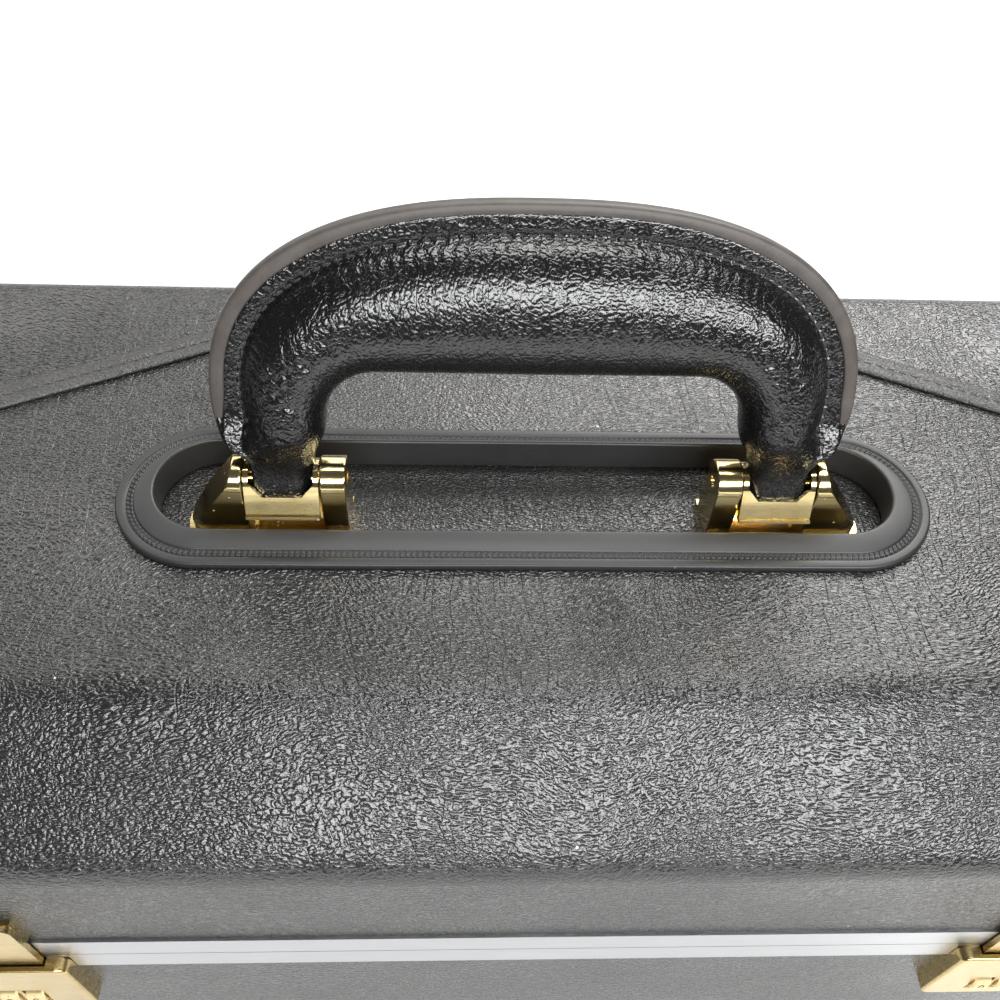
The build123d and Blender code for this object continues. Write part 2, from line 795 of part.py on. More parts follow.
for side, word in lock_sides:
    with BuildPart() as case:
        lock_box(side, -half_lock, half_lock, lock_front, -half_depth, lock_bottom, lock_top)
        fillet(case.edges().filter_by(Axis.Y), lock_corner)
        fillet(case.edges().group_by(Axis.Y)[0], lock_round)
        lock_box(side, -half_lock + lock_wall, half_lock - lock_wall, face_back, -half_depth + 1,
                 lock_bottom + lock_wall, lock_top - lock_wall * 2, Mode.SUBTRACT)
        lock_box(side, hasp_left - hasp_clearance, hasp_right + hasp_clearance,
                 hasp_front - hasp_clearance, -half_depth + 1, lock_top - lock_wall * 2 - 1,
                 lock_top + 1, Mode.SUBTRACT)
        lock_box(side, stem_left - bolt_travel - slide_clearance,
                 stem_left + stem_width + slide_clearance, lock_front - 1, face_back + 0.5,
                 bolt_z - stem_height / 2 - slide_clearance,
                 bolt_z + stem_height / 2 + slide_clearance, Mode.SUBTRACT)
        for place in dial_places:
            lock_box(side, place - dial_width / 2 - dial_slot_gap,
                     place + dial_width / 2 + dial_slot_gap,
                     lock_front - 1, face_back + 0.5, dial_z - window_half, dial_z + window_half,
                     Mode.SUBTRACT)
        for lug in (bank_left - lug_thickness, bank_right):
            lock_box(side, lug, lug + lug_thickness, face_back - 0.2,
                     axle_y + axle_radius + lug_wall, dial_z - lug_half_height,
                     dial_z + lug_half_height)
        rod_across(side, bank_left - lug_thickness - 1, bank_right + lug_thickness + 1, axle_y,
                   dial_z, axle_radius, Mode.SUBTRACT)
    save(case, f"lock_case_{word}")

    with BuildPart() as cover:
        cover_y = axle_y + dial_radius + dial_back_gap
        lock_box(side, pocket_left - back_cover_flange, pocket_right + back_cover_flange,
                 -half_depth + wall, cover_y + back_cover, pocket_low - back_cover_flange,
                 pocket_high + back_cover_flange)
        lock_box(side, pocket_left, pocket_right, -half_depth + wall - 1, cover_y,
                 pocket_low, pocket_high, Mode.SUBTRACT)
    save(cover, f"lock_back_cover_{word}")

    with BuildPart() as axle:
        rod_across(side, bank_left - lug_thickness, bank_right + lug_thickness, axle_y, dial_z,
                   axle_radius)
    save(axle, f"dial_axle_{word}")

    for number, place in enumerate(dial_places, 1):
        with BuildPart() as dial:
            rod_across(side, place - dial_width / 2, place + dial_width / 2, axle_y, dial_z,
                       dial_radius)
            rims = dial.edges().filter_by(GeomType.CIRCLE)
            chamfer(rims, dial_chamfer)
            rod_across(side, place - dial_width, place + dial_width, axle_y, dial_z,
                       axle_radius + dial_running, Mode.SUBTRACT)
        save(dial, f"dial_{word}_{number}")

    with BuildPart() as slide:
        lock_box(side, bolt_left, bolt_end, hasp_front, hasp_back - seat_gap,
                 bolt_z - bolt_height / 2, bolt_z + bolt_height / 2)
        lock_box(side, stem_left, stem_left + stem_width, lock_front - 0.5, hasp_front,
                 bolt_z - stem_height / 2, bolt_z + stem_height / 2)
        lock_box(side, button_center - button_width / 2, button_center + button_width / 2,
                 -half_depth - button_out, lock_front - button_gap,
                 bolt_z - button_height / 2 - button_drop, bolt_z + button_height / 2 - button_drop)
        fillet(slide.edges().group_by(Axis.Y)[0], slide_round)
    save(slide, f"lock_slide_{word}")

    with BuildPart() as hasp:
        lock_box(side, hasp_left, hasp_right, hasp_front, hasp_back, hasp_bottom, hasp_top)
        fillet(hasp.edges().filter_by(Axis.Y), lock_corner)
        lock_box(side, hasp_left, hasp_right, hasp_back, -half_depth, hasp_pad_bottom, hasp_top)
        lock_box(side, hasp_right - notch_depth, hasp_right + 1, hasp_front - 1, hasp_back + 1,
                 bolt_z - bolt_height / 2 - notch_clearance,
                 bolt_z + bolt_height / 2 + notch_clearance, Mode.SUBTRACT)
        for z in hasp_screw_z:
            rod("Y", (side * (lock_x + hasp_center), hasp_front - 1, z), rivet_radius,
                hasp_stand_off + hasp_thickness + 2, Mode.SUBTRACT)
    save(hasp, f"hasp_{word}")

with BuildPart() as hasp_rivets:
    for side, _ in lock_sides:
        for z in hasp_screw_z:
            x = side * (lock_x + hasp_center)
            rod("Y", (x, hasp_front, z), rivet_radius, hasp_stand_off + hasp_thickness + wall)
            rod("Y", (x, hasp_front - hasp_rivet_head, z), hasp_rivet_head_radius, hasp_rivet_head)
            rod("Y", (x, -half_depth + wall, z), hasp_rivet_head_radius, hasp_rivet_head)
save(hasp_rivets, "hasp_rivets")

# ---- Feet ----
foot_places = [(x, y) for x in (-foot_x, foot_x) for y in (-foot_y, foot_y)]
screw_top = foot_height + skin + board
screw_neck = foot_screw_recess + foot_screw_head_height
with BuildPart() as feet:
    for x, y in foot_places:
        rod("Z", (x, y, 0), foot_radius, foot_height)
    fillet(feet.edges().group_by(Axis.Z)[0], foot_round)
    for x, y in foot_places:
        rod("Z", (x, y, -1), foot_screw_head + foot_screw_head_gap, screw_neck + 1, Mode.SUBTRACT)
        rod("Z", (x, y, -1), foot_screw_radius, foot_height + 2, Mode.SUBTRACT)
save(feet, "feet")

with BuildPart() as foot_screws:
    for x, y in foot_places:
        rod("Z", (x, y, foot_screw_recess), foot_screw_head, foot_screw_head_height)
        rod("Z", (x, y, screw_neck), foot_screw_radius, screw_top - screw_neck)
save(foot_screws, "foot_screws")
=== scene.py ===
import json
import math

import bpy
import numpy as np
from mathutils import Matrix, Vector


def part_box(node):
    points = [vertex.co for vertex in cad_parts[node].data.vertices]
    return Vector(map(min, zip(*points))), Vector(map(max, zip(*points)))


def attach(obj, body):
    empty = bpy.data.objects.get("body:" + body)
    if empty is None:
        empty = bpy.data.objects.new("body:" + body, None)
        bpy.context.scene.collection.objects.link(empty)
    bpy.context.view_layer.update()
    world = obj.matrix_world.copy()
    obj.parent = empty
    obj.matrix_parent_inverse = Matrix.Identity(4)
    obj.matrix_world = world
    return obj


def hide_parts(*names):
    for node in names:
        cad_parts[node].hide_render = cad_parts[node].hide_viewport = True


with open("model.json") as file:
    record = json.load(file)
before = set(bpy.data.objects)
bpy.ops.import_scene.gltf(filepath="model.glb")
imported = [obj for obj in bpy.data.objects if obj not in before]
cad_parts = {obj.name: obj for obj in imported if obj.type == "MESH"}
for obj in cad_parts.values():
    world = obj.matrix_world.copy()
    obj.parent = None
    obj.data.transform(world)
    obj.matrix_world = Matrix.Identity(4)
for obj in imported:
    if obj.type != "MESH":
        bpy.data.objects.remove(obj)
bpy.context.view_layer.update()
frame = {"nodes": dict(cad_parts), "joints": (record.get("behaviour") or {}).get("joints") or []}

mm = 0.001
nodes = frame["nodes"]
joints = {j["name"]: j for j in frame["joints"]}
pivot = np.array(joints["handle_pivot"]["pos_m"])
bezelLow, bezelHigh = (np.array(c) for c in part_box("bezel"))
bezelTop = bezelHigh[2]
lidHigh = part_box("lid_cover")[1]
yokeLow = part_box("yoke_panel")[0]
print("frame loaded:", len(nodes), "nodes")


# mesh helpers

def gridFaces(rows, cols, wrapRows=False, wrapCols=False):
    # quads between neighbouring rows and columns of a rows x cols grid of points
    r = np.arange(rows if wrapRows else rows - 1)[:, None]
    c = np.arange(cols if wrapCols else cols - 1)[None, :]
    rNext = (r + 1) % rows
    cNext = (c + 1) % cols
    quads = np.stack([r * cols + c, r * cols + cNext, rNext * cols + cNext, rNext * cols + c], -1)
    return quads.reshape(-1, 4)


def makePiece(name, points, faces, body, material, flip=False):
    # points in metres; faces a list of index arrays, each of one face size
    mesh = bpy.data.meshes.new(name)
    polygons = []
    for block in faces:
        block = np.asarray(block)
        if flip:
            block = block[..., ::-1]
        polygons += block.tolist()
    flat = np.asarray(points, float).reshape(-1, 3)
    mesh.from_pydata(flat, [], polygons)
    mesh.polygons.foreach_set("use_smooth", np.full(len(polygons), True))
    mesh.update()
    piece = bpy.data.objects.new(name, mesh)
    bpy.context.scene.collection.objects.link(piece)
    mesh.materials.append(material)
    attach(piece, body)
    return piece


def tubeFaces(rows, cols):
    # a tube whose sections run along the columns, closed by a cap at each end
    section = np.arange(cols)
    caps = [section[None, ::-1], (section + (rows - 1) * cols)[None, :]]
    return [gridFaces(rows, cols, wrapCols=True), *caps]


def bellCurve(distance, width):
    # 1 at no distance, falling to about a third at the width
    return np.exp(-(distance / width)**2)


def alongCurve(points, fractions):
    # points at the given fractions of a polyline's length
    points = np.asarray(points, float)
    steps = np.linalg.norm(np.diff(points, axis=0), axis=1)
    length = np.concatenate([[0], np.cumsum(steps)])
    at = np.asarray(fractions) * length[-1]
    return np.stack([np.interp(at, length, points[:, k]) for k in range(points.shape[1])], -1)


def smoothStep(low, high, x):
    # 0 below low, 1 above high, t squared times (3 - 2t) between them
    t = np.clip((x - low) / (high - low), 0, 1)
    return t * t * (3 - 2 * t)


def waveNoise(points, scale, seed, octaves):
    # a smooth random field: sums of sines in random directions, halved at each octave
    local = np.random.default_rng(seed)
    total = np.zeros(points.shape[:-1])
    wavesPerOctave = 5
    for octave in range(octaves):
        for _ in range(wavesPerOctave):
            direction = local.normal(size=3)
            direction *= scale * 2.0**octave / np.linalg.norm(direction)
            total += np.sin(points @ direction + local.uniform(0, 6.28)) / 2.0**octave
    return total / 8


# shader helpers

def addNode(tree, kind, inputs=None, **settings):
    # settings come first, since some of them decide which inputs a node has
    node = tree.nodes.new(kind)
    for key, value in settings.items():
        setattr(node, key, value)
    for key, value in (inputs or {}).items():
        node.inputs[key].default_value = value
    return node


def mathNode(tree, operation, first, second=None, clamp=False):
    # first and second are numbers or another node's output
    node = addNode(tree, "ShaderNodeMath", operation=operation, use_clamp=clamp)
    for socket, value in ((0, first), (1, second)):
        if value is None:
            continue
        if isinstance(value, (int, float)):
            node.inputs[socket].default_value = value
        else:
            tree.links.new(value, node.inputs[socket])
    return node.outputs[0]


def rampNode(tree, value, stops):
    # stops is a list of (place, grey)
    ramp = addNode(tree, "ShaderNodeValToRGB")
    elements = ramp.color_ramp.elements
    while len(elements) < len(stops):
        elements.new(0.5)
    for element, (place, shade) in zip(elements, stops):
        element.position = place
        element.color = (shade, shade, shade, 1)
    tree.links.new(value, ramp.inputs["Fac"])
    return ramp.outputs["Color"]


def mixColour(tree, factor, first, second):
    # first at factor 0, second at 1; each is a colour or another node's output
    node = addNode(tree, "ShaderNodeMix", data_type="RGBA")
    for socket, value in (("Factor", factor), (6, first), (7, second)):
        if isinstance(value, tuple):
            node.inputs[socket].default_value = (*value, 1)
        elif isinstance(value, (int, float)):
            node.inputs[socket].default_value = value
        else:
            tree.links.new(value, node.inputs[socket])
    return node.outputs[2]


def newGroup(name, inputs, outputs):
    # inputs are (label, kind, value) and outputs (label, kind)
    group = bpy.data.node_groups.new(name, "ShaderNodeTree")
    for label, kind, value in inputs:
        socket = group.interface.new_socket(name=label, in_out="INPUT", socket_type=kind)
        if value is not None:
            socket.default_value = value
    for label, kind in outputs:
        group.interface.new_socket(name=label, in_out="OUTPUT", socket_type=kind)
    return group, addNode(group, "NodeGroupInput"), addNode(group, "NodeGroupOutput")


def useGroup(tree, group, vector, **inputs):
    # a shared group, read at the given coordinates
    node = addNode(tree, "ShaderNodeGroup", inputs, node_tree=group)
    tree.links.new(vector, node.inputs["Vector"])
    return node


def scaledCoords(tree, coords, factors):
    # object coordinates squeezed or stretched along each axis
    node = addNode(tree, "ShaderNodeVectorMath", {1: factors}, operation="MULTIPLY")
    tree.links.new(coords, node.inputs[0])
    return node.outputs[0]


def spreadRoughness(tree, shader, value, limits):
    # roughness runs between two limits with a mask
    spread = addNode(tree, "ShaderNodeMapRange", {"To Min": limits[0], "To Max": limits[1]})
    tree.links.new(value, spread.inputs["Value"])
    tree.links.new(spread.outputs[0], shader.inputs["Roughness"])


def makeGrainGroup():
    # leather: rounded wavy bumps parted by sharp valleys, with long faint creases across them.
    # A bump is four times a noise's distance from its middle value, cut off at 1 and rounded.
    group, gIn, gOut = newGroup(
        "leatherGrain",
        [("Vector", "NodeSocketVector", None), ("Scale", "NodeSocketFloat", 560.0),
         ("Stretch", "NodeSocketVector", (1.0, 2.0, 1.5)), ("Swirl", "NodeSocketFloat", 0.008),
         ("Crease", "NodeSocketFloat", 0.5), ("CreaseStretch", "NodeSocketVector", (1.0, 0.1, 1.0))],
        [("Height", "NodeSocketFloat"), ("Valley", "NodeSocketFloat")],
    )
    links = group.links

    def multiplied(vector, by):
        node = addNode(group, "ShaderNodeVectorMath", operation="MULTIPLY")
        links.new(vector, node.inputs[0])
        if isinstance(by, tuple):
            node.inputs[1].default_value = by
        else:
            links.new(by, node.inputs[1])
        return node.outputs[0]

    # a slow swirl turns the direction of the bumps from place to place
    swirl = addNode(group, "ShaderNodeTexNoise", {"Scale": 17.0, "Detail": 1.0})
    links.new(gIn.outputs["Vector"], swirl.inputs["Vector"])
    scaled = addNode(group, "ShaderNodeVectorMath", operation="SCALE")
    links.new(swirl.outputs["Color"], scaled.inputs[0])
    links.new(gIn.outputs["Swirl"], scaled.inputs["Scale"])
    turned = addNode(group, "ShaderNodeVectorMath", operation="ADD")
    links.new(gIn.outputs["Vector"], turned.inputs[0])
    links.new(scaled.outputs[0], turned.inputs[1])
    place = multiplied(turned.outputs[0], gIn.outputs["Stretch"])

    def billow(scaleShare, heightShare):
        noise = addNode(group, "ShaderNodeTexNoise", {"Detail": 1.0, "Roughness": 0.45})
        links.new(place, noise.inputs["Vector"])
        links.new(mathNode(group, "MULTIPLY", gIn.outputs["Scale"], scaleShare), noise.inputs["Scale"])
        centred = mathNode(group, "SUBTRACT", noise.outputs["Fac"], 0.5)
        height = mathNode(group, "MULTIPLY", mathNode(group, "ABSOLUTE", centred), 4.0)
        rounded = mathNode(group, "POWER", mathNode(group, "MINIMUM", height, 1.0), 0.7)
        return mathNode(group, "MULTIPLY", rounded, heightShare)

    bumps = mathNode(group, "ADD", billow(0.8, 0.85), billow(1.9, 0.12))
    line = addNode(group, "ShaderNodeTexNoise", {"Detail": 2.0, "Roughness": 0.5})
    links.new(multiplied(turned.outputs[0], gIn.outputs["CreaseStretch"]), line.inputs["Vector"])
    links.new(mathNode(group, "MULTIPLY", gIn.outputs["Scale"], 0.2), line.inputs["Scale"])
    offLine = mathNode(group, "ABSOLUTE", mathNode(group, "SUBTRACT", line.outputs["Fac"], 0.5))
    crease = addNode(group, "ShaderNodeMapRange", {"From Max": 0.018, "To Min": 1.0, "To Max": 0.0},
                     interpolation_type="SMOOTHSTEP")
    links.new(offLine, crease.inputs["Value"])
    cut = mathNode(group, "MULTIPLY", crease.outputs[0], gIn.outputs["Crease"])
    links.new(mathNode(group, "SUBTRACT", bumps, cut), gOut.inputs["Height"])
    # the valley mask: painted shade in the grain's hollows, and rougher gloss there
    valley = addNode(group, "ShaderNodeMapRange", {"From Max": 0.35, "To Min": 1.0, "To Max": 0.0},
                     interpolation_type="SMOOTHSTEP")
    links.new(bumps, valley.inputs["Value"])
    links.new(valley.outputs[0], gOut.inputs["Valley"])
    return group


def makeDustGroup():
    # scattered pale specks: the middles of a few random cells
    group, gIn, gOut = newGroup(
        "dustSpecks",
        [("Vector", "NodeSocketVector", None), ("Scale", "NodeSocketFloat", 120.0),
         ("Size", "NodeSocketFloat", 0.06)],
        [("Mask", "NodeSocketFloat")],
    )
    links = group.links
    cells = addNode(group, "ShaderNodeTexVoronoi", feature="F1")
    links.new(gIn.outputs["Vector"], cells.inputs["Vector"])
    links.new(gIn.outputs["Scale"], cells.inputs["Scale"])
    near = mathNode(group, "LESS_THAN", cells.outputs["Distance"], gIn.outputs["Size"])
    split = addNode(group, "ShaderNodeSeparateColor")
    links.new(cells.outputs["Color"], split.inputs[0])
    chosen = mathNode(group, "GREATER_THAN", split.outputs[0], 0.72)
    links.new(mathNode(group, "MULTIPLY", near, chosen), gOut.inputs["Mask"])
    return group


def makeWearGroup():
    # rubbed edges: where the surface curves outwards, broken up by noise
    group, gIn, gOut = newGroup(
        "edgeWear",
        [("Vector", "NodeSocketVector", None), ("Scale", "NodeSocketFloat", 60.0),
         ("Amount", "NodeSocketFloat", 0.5)],
        [("Mask", "NodeSocketFloat"), ("Patches", "NodeSocketFloat")],
    )
    links = group.links
    geometry = addNode(group, "ShaderNodeNewGeometry")
    patches = addNode(group, "ShaderNodeTexNoise", {"Detail": 5.0, "Roughness": 0.6})
    links.new(gIn.outputs["Vector"], patches.inputs["Vector"])
    links.new(gIn.outputs["Scale"], patches.inputs["Scale"])
    convex = addNode(group, "ShaderNodeMapRange", {"From Min": 0.51, "From Max": 0.62},
                     interpolation_type="SMOOTHSTEP")
    links.new(geometry.outputs["Pointiness"], convex.inputs["Value"])
    worn = mathNode(group, "MULTIPLY", convex.outputs[0], patches.outputs["Fac"])
    links.new(mathNode(group, "MULTIPLY", worn, gIn.outputs["Amount"]), gOut.inputs["Mask"])
    links.new(patches.outputs["Fac"], gOut.inputs["Patches"])
    return group


grainGroup = makeGrainGroup()
dustGroup = makeDustGroup()
wearGroup = makeWearGroup()


def newMaterial(name, **principled):
    # the keywords name the shader's inputs, so sheenWeight sets Sheen Weight
    material = bpy.data.materials.new(name)
    material.use_nodes = True
    tree = material.node_tree
    shader = tree.nodes["Principled BSDF"]
    for key, value in principled.items():
        words = "".join(" " + c if c.isupper() else c for c in key).split()
        label = " ".join(w[0].upper() + w[1:] for w in words).replace("Ior", "IOR")
        shader.inputs[label].default_value = value
    coords = addNode(tree, "ShaderNodeTexCoord").outputs["Object"]
    return material, tree, shader, coords


def addBump(tree, shader, height, strength, distance):
    # the surface rises by height times distance, shown at the given strength
    bump = addNode(tree, "ShaderNodeBump", {"Strength": strength, "Distance": distance})
    tree.links.new(height, bump.inputs["Height"])
    tree.links.new(bump.outputs[0], shader.inputs["Normal"])


def makeLeather(name, look):
    # black grained leather: grain and creases raise the surface and open up the gloss; the grain's
    # valleys also get a darker colour, painted shade
    material, tree, shader, coords = newMaterial(name, specularIorLevel=look["specular"])
    links = tree.links
    grain = useGroup(tree, grainGroup, coords, Scale=look["grain"], Stretch=look["stretch"],
                     Swirl=look["swirl"], Crease=look["crease"], CreaseStretch=look["creaseStretch"])
    wear = useGroup(tree, wearGroup, coords, Scale=45.0, Amount=look["wear"])
    dust = useGroup(tree, dustGroup, coords, Scale=95.0, Size=0.035)
    specks = mathNode(tree, "MULTIPLY", dust.outputs["Mask"], look["dust"])
    tone = mixColour(tree, wear.outputs["Patches"], look["dark"], look["light"])
    # painted shade: the grain's valleys are coloured darker
    tone = mixColour(tree, grain.outputs["Valley"], tone, look["valley"])
    tone = mixColour(tree, wear.outputs["Mask"], tone, look["worn"])
    links.new(mixColour(tree, specks, tone, look["speck"]), shader.inputs["Base Color"])
    rough = addNode(tree, "ShaderNodeMapRange", {"To Min": look["rough"][0], "To Max": look["rough"][1]})
    links.new(wear.outputs["Patches"], rough.inputs["Value"])
    roughValley = mathNode(tree, "MULTIPLY", grain.outputs["Valley"], look["valleyRough"])
    links.new(mathNode(tree, "ADD", rough.outputs[0], roughValley, clamp=True),
              shader.inputs["Roughness"])
    addBump(tree, shader, grain.outputs["Height"], look["bump"], look["depth"])
    return material


# the valley colours below are painted shade for the grain's hollows
caseLeatherLook = {
    "grain": 690.0, "stretch": (0.95, 1.9, 1.4), "swirl": 0.030, "crease": 0.30,
    "creaseStretch": (1.0, 0.10, 1.0), "bump": 1.0, "depth": 0.00018,
    "dark": (0.009, 0.009, 0.009), "light": (0.017, 0.017, 0.0165), "valley": (0.004, 0.004, 0.004),
    "worn": (0.07, 0.068, 0.064), "wear": 0.3, "speck": (0.55, 0.52, 0.47), "dust": 0.8,
    "rough": (0.19, 0.28), "valleyRough": 0.12, "specular": 0.78,
}
# painted highlight: a paler copy of the case leather for the yoke's turned edge, standing in for the
# light caught along the fold
turnedEdgeHighlightLook = dict(
    caseLeatherLook, dark=(0.022, 0.022, 0.021), light=(0.040, 0.039, 0.037), rough=(0.36, 0.46))
handleLeatherLook = {
    "grain": 900.0, "stretch": (1.0, 1.0, 1.0), "swirl": 0.012, "crease": 0.35,
    "creaseStretch": (1.0, 0.5, 0.3), "bump": 0.9, "depth": 0.00012,
    "dark": (0.003, 0.003, 0.0032), "light": (0.006, 0.006, 0.0063), "valley": (0.002, 0.002, 0.002),
    "worn": (0.03, 0.029, 0.028), "wear": 0.2, "speck": (0.55, 0.52, 0.47), "dust": 0.3,
    "rough": (0.16, 0.25), "valleyRough": 0.12, "specular": 0.75,
}
mouldingLook = {
    "dark": (0.018, 0.018, 0.019), "light": (0.030, 0.030, 0.030), "worn": (0.14, 0.13, 0.125),
    "wear": 0.7, "speck": (0.5, 0.48, 0.44), "dust": 0.7, "rough": (0.34, 0.5), "specular": 0.5,
    "texture": 2600.0, "bump": 0.25, "depth": 0.00008,
}


def makeMoulding(name, look):
    # satin dark grey plastic with fine mould texture, paler along rubbed edges
    material, tree, shader, coords = newMaterial(name, specularIorLevel=look["specular"])
    wear = useGroup(tree, wearGroup, coords, Scale=70.0, Amount=look["wear"])
    dust = useGroup(tree, dustGroup, coords, Scale=110.0, Size=0.03)
    specks = mathNode(tree, "MULTIPLY", dust.outputs["Mask"], look["dust"])
    tone = mixColour(tree, wear.outputs["Patches"], look["dark"], look["light"])
    tone = mixColour(tree, wear.outputs["Mask"], tone, look["worn"])
    tree.links.new(mixColour(tree, specks, tone, look["speck"]), shader.inputs["Base Color"])
    spreadRoughness(tree, shader, wear.outputs["Patches"], look["rough"])
    texture = addNode(tree, "ShaderNodeTexNoise", {"Scale": look["texture"], "Detail": 2.0})
    tree.links.new(coords, texture.inputs["Vector"])
    addBump(tree, shader, texture.outputs["Fac"], look["bump"], look["depth"])
    return material


brassLooks = {
    "polishedBrass": {"tint": (0.93, 0.78, 0.42), "deep": (0.80, 0.60, 0.24), "rough": (0.07, 0.2),
                      "specks": 0.8},
    "satinBrass": {"tint": (0.60, 0.46, 0.21), "deep": (0.54, 0.40, 0.17), "rough": (0.2, 0.32),
                   "specks": 0.4},
    "dialBrass": {"tint": (0.82, 0.66, 0.36), "deep": (0.66, 0.50, 0.24), "rough": (0.25, 0.4),
                  "specks": 0.2},
}


def makeBrass(name, look):
    # plating with hairline scratches and a few dust specks, which aren't metal
    material, tree, shader, coords = newMaterial(name, specularIorLevel=0.5)
    patches = addNode(tree, "ShaderNodeTexNoise", {"Scale": 160.0, "Detail": 4.0})
    tree.links.new(coords, patches.inputs["Vector"])
    dust = useGroup(tree, dustGroup, coords, Scale=420.0, Size=0.11)
    spread = rampNode(tree, patches.outputs["Fac"], [(0.3, 0.0), (0.75, 1.0)])
    tone = mixColour(tree, spread, look["tint"], look["deep"])
    specks = mathNode(tree, "MULTIPLY", dust.outputs["Mask"], look["specks"])
    tree.links.new(mixColour(tree, specks, tone, (0.75, 0.68, 0.5)), shader.inputs["Base Color"])
    tree.links.new(mathNode(tree, "SUBTRACT", 1.0, mathNode(tree, "MULTIPLY", specks, 0.7)),
                   shader.inputs["Metallic"])
    scratches = addNode(tree, "ShaderNodeTexNoise", {"Scale": 900.0, "Detail": 3.0, "Distortion": 0.4})
    tree.links.new(scaledCoords(tree, coords, (0.06, 1.0, 1.0)), scratches.inputs["Vector"])
    spreadRoughness(tree, shader, scratches.outputs["Fac"], look["rough"])
    addBump(tree, shader, scratches.outputs["Fac"], 0.12, 0.00003)
    return material


metalLooks = {
    "brushedAluminium": {"tone": (0.60, 0.61, 0.63), "rough": (0.24, 0.42), "stretch": (0.04, 0.04, 1.0)},
    "platedSteel": {"tone": (0.56, 0.57, 0.58), "rough": (0.3, 0.5), "stretch": (1.0, 1.0, 1.0)},
}


def makeMetal(name, look):
    # drawn or brushed metal: streaks along one direction
    material, tree, shader, coords = newMaterial(name, metallic=1.0)
    streaks = addNode(tree, "ShaderNodeTexNoise", {"Scale": 1500.0, "Detail": 4.0, "Roughness": 0.65})
    tree.links.new(scaledCoords(tree, coords, look["stretch"]), streaks.inputs["Vector"])
    shade = tuple(c * 0.72 for c in look["tone"])
    tree.links.new(mixColour(tree, streaks.outputs["Fac"], shade, look["tone"]),
                   shader.inputs["Base Color"])
    spreadRoughness(tree, shader, streaks.outputs["Fac"], look["rough"])
    addBump(tree, shader, streaks.outputs["Fac"], 0.3, 0.00004)
    return material


plainLooks = {
    "edgePaint": {"dark": (0.055, 0.047, 0.042), "light": (0.085, 0.074, 0.066),
                  "rough": (0.40, 0.55), "scale": 220.0, "bump": 0.3, "depth": 0.0001, "sheen": 0.0},
    "pressedBoard": {"dark": (0.16, 0.11, 0.065), "light": (0.30, 0.21, 0.13),
                     "rough": (0.75, 0.9), "scale": 130.0, "bump": 0.5, "depth": 0.0002, "sheen": 0.0},
    "blackPlastic": {"dark": (0.016, 0.016, 0.017), "light": (0.03, 0.03, 0.03),
                     "rough": (0.4, 0.55), "scale": 300.0, "bump": 0.3, "depth": 0.00008, "sheen": 0.0},
    "waxedThread": {"dark": (0.008, 0.008, 0.009), "light": (0.02, 0.02, 0.021),
                    "rough": (0.4, 0.6), "scale": 900.0, "bump": 0.5, "depth": 0.0001, "sheen": 0.2},
    "digitPaint": {"dark": (0.012, 0.011, 0.010), "light": (0.03, 0.028, 0.025),
                   "rough": (0.5, 0.65), "scale": 500.0, "bump": 0.2, "depth": 0.00005, "sheen": 0.0},
}


def makePlain(name, look):
    # painted edge, board, plastic and thread: mottled colour over a fine bump
    material, tree, shader, coords = newMaterial(name, sheenWeight=look["sheen"])
    mottle = addNode(tree, "ShaderNodeTexNoise",
                     {"Scale": look["scale"], "Detail": 5.0, "Roughness": 0.6})
    fine = addNode(tree, "ShaderNodeTexNoise", {"Scale": look["scale"] * 8, "Detail": 3.0})
    for texture in (mottle, fine):
        tree.links.new(coords, texture.inputs["Vector"])
    spread = rampNode(tree, mottle.outputs["Fac"], [(0.3, 0.0), (0.7, 1.0)])
    tree.links.new(mixColour(tree, spread, look["dark"], look["light"]), shader.inputs["Base Color"])
    spreadRoughness(tree, shader, mottle.outputs["Fac"], look["rough"])
    addBump(tree, shader, fine.outputs["Fac"], look["bump"], look["depth"])
    return material


clothLook = {
    "threads": 340.0, "gap": (0.022, 0.022, 0.025), "yarn": (0.075, 0.073, 0.078),
    "rough": (0.75, 0.95), "sheen": 0.3, "bump": 0.6, "depth": 0.0002,
}


def makeCloth(name, look):
    # woven lining: crossed bands of thread
    material, tree, shader, coords = newMaterial(name, sheenWeight=look["sheen"], sheenRoughness=0.5)
    bands = []
    for direction in ("X", "Z"):
        band = addNode(tree, "ShaderNodeTexWave",
                       {"Scale": look["threads"], "Distortion": 0.6, "Detail": 1.0},
                       wave_type="BANDS", bands_direction=direction)
        tree.links.new(coords, band.inputs["Vector"])
        bands.append(band.outputs["Fac"])
    weave = mathNode(tree, "MULTIPLY", bands[0], bands[1])
    tree.links.new(mixColour(tree, weave, look["gap"], look["yarn"]), shader.inputs["Base Color"])
    spreadRoughness(tree, shader, weave, look["rough"])
    addBump(tree, shader, weave, look["bump"], look["depth"])
    return material


caseLeather = makeLeather("caseLeather", caseLeatherLook)
turnedEdgeHighlight = makeLeather("turnedEdgeHighlight", turnedEdgeHighlightLook)
handleLeather = makeLeather("handleLeather", handleLeatherLook)
moulding = makeMoulding("blackMoulding", mouldingLook)
brass, lockBrass, dialBrass = (makeBrass(name, look) for name, look in brassLooks.items())
aluminium, steel = (makeMetal(name, look) for name, look in metalLooks.items())
edgePaint, boardBrown, blackPlastic, thread, digitPaint = (
    makePlain(name, look) for name, look in plainLooks.items())
liningCloth = makeCloth("liningCloth", clothLook)
print("materials made")


# CAD nodes that stay: only their material changes

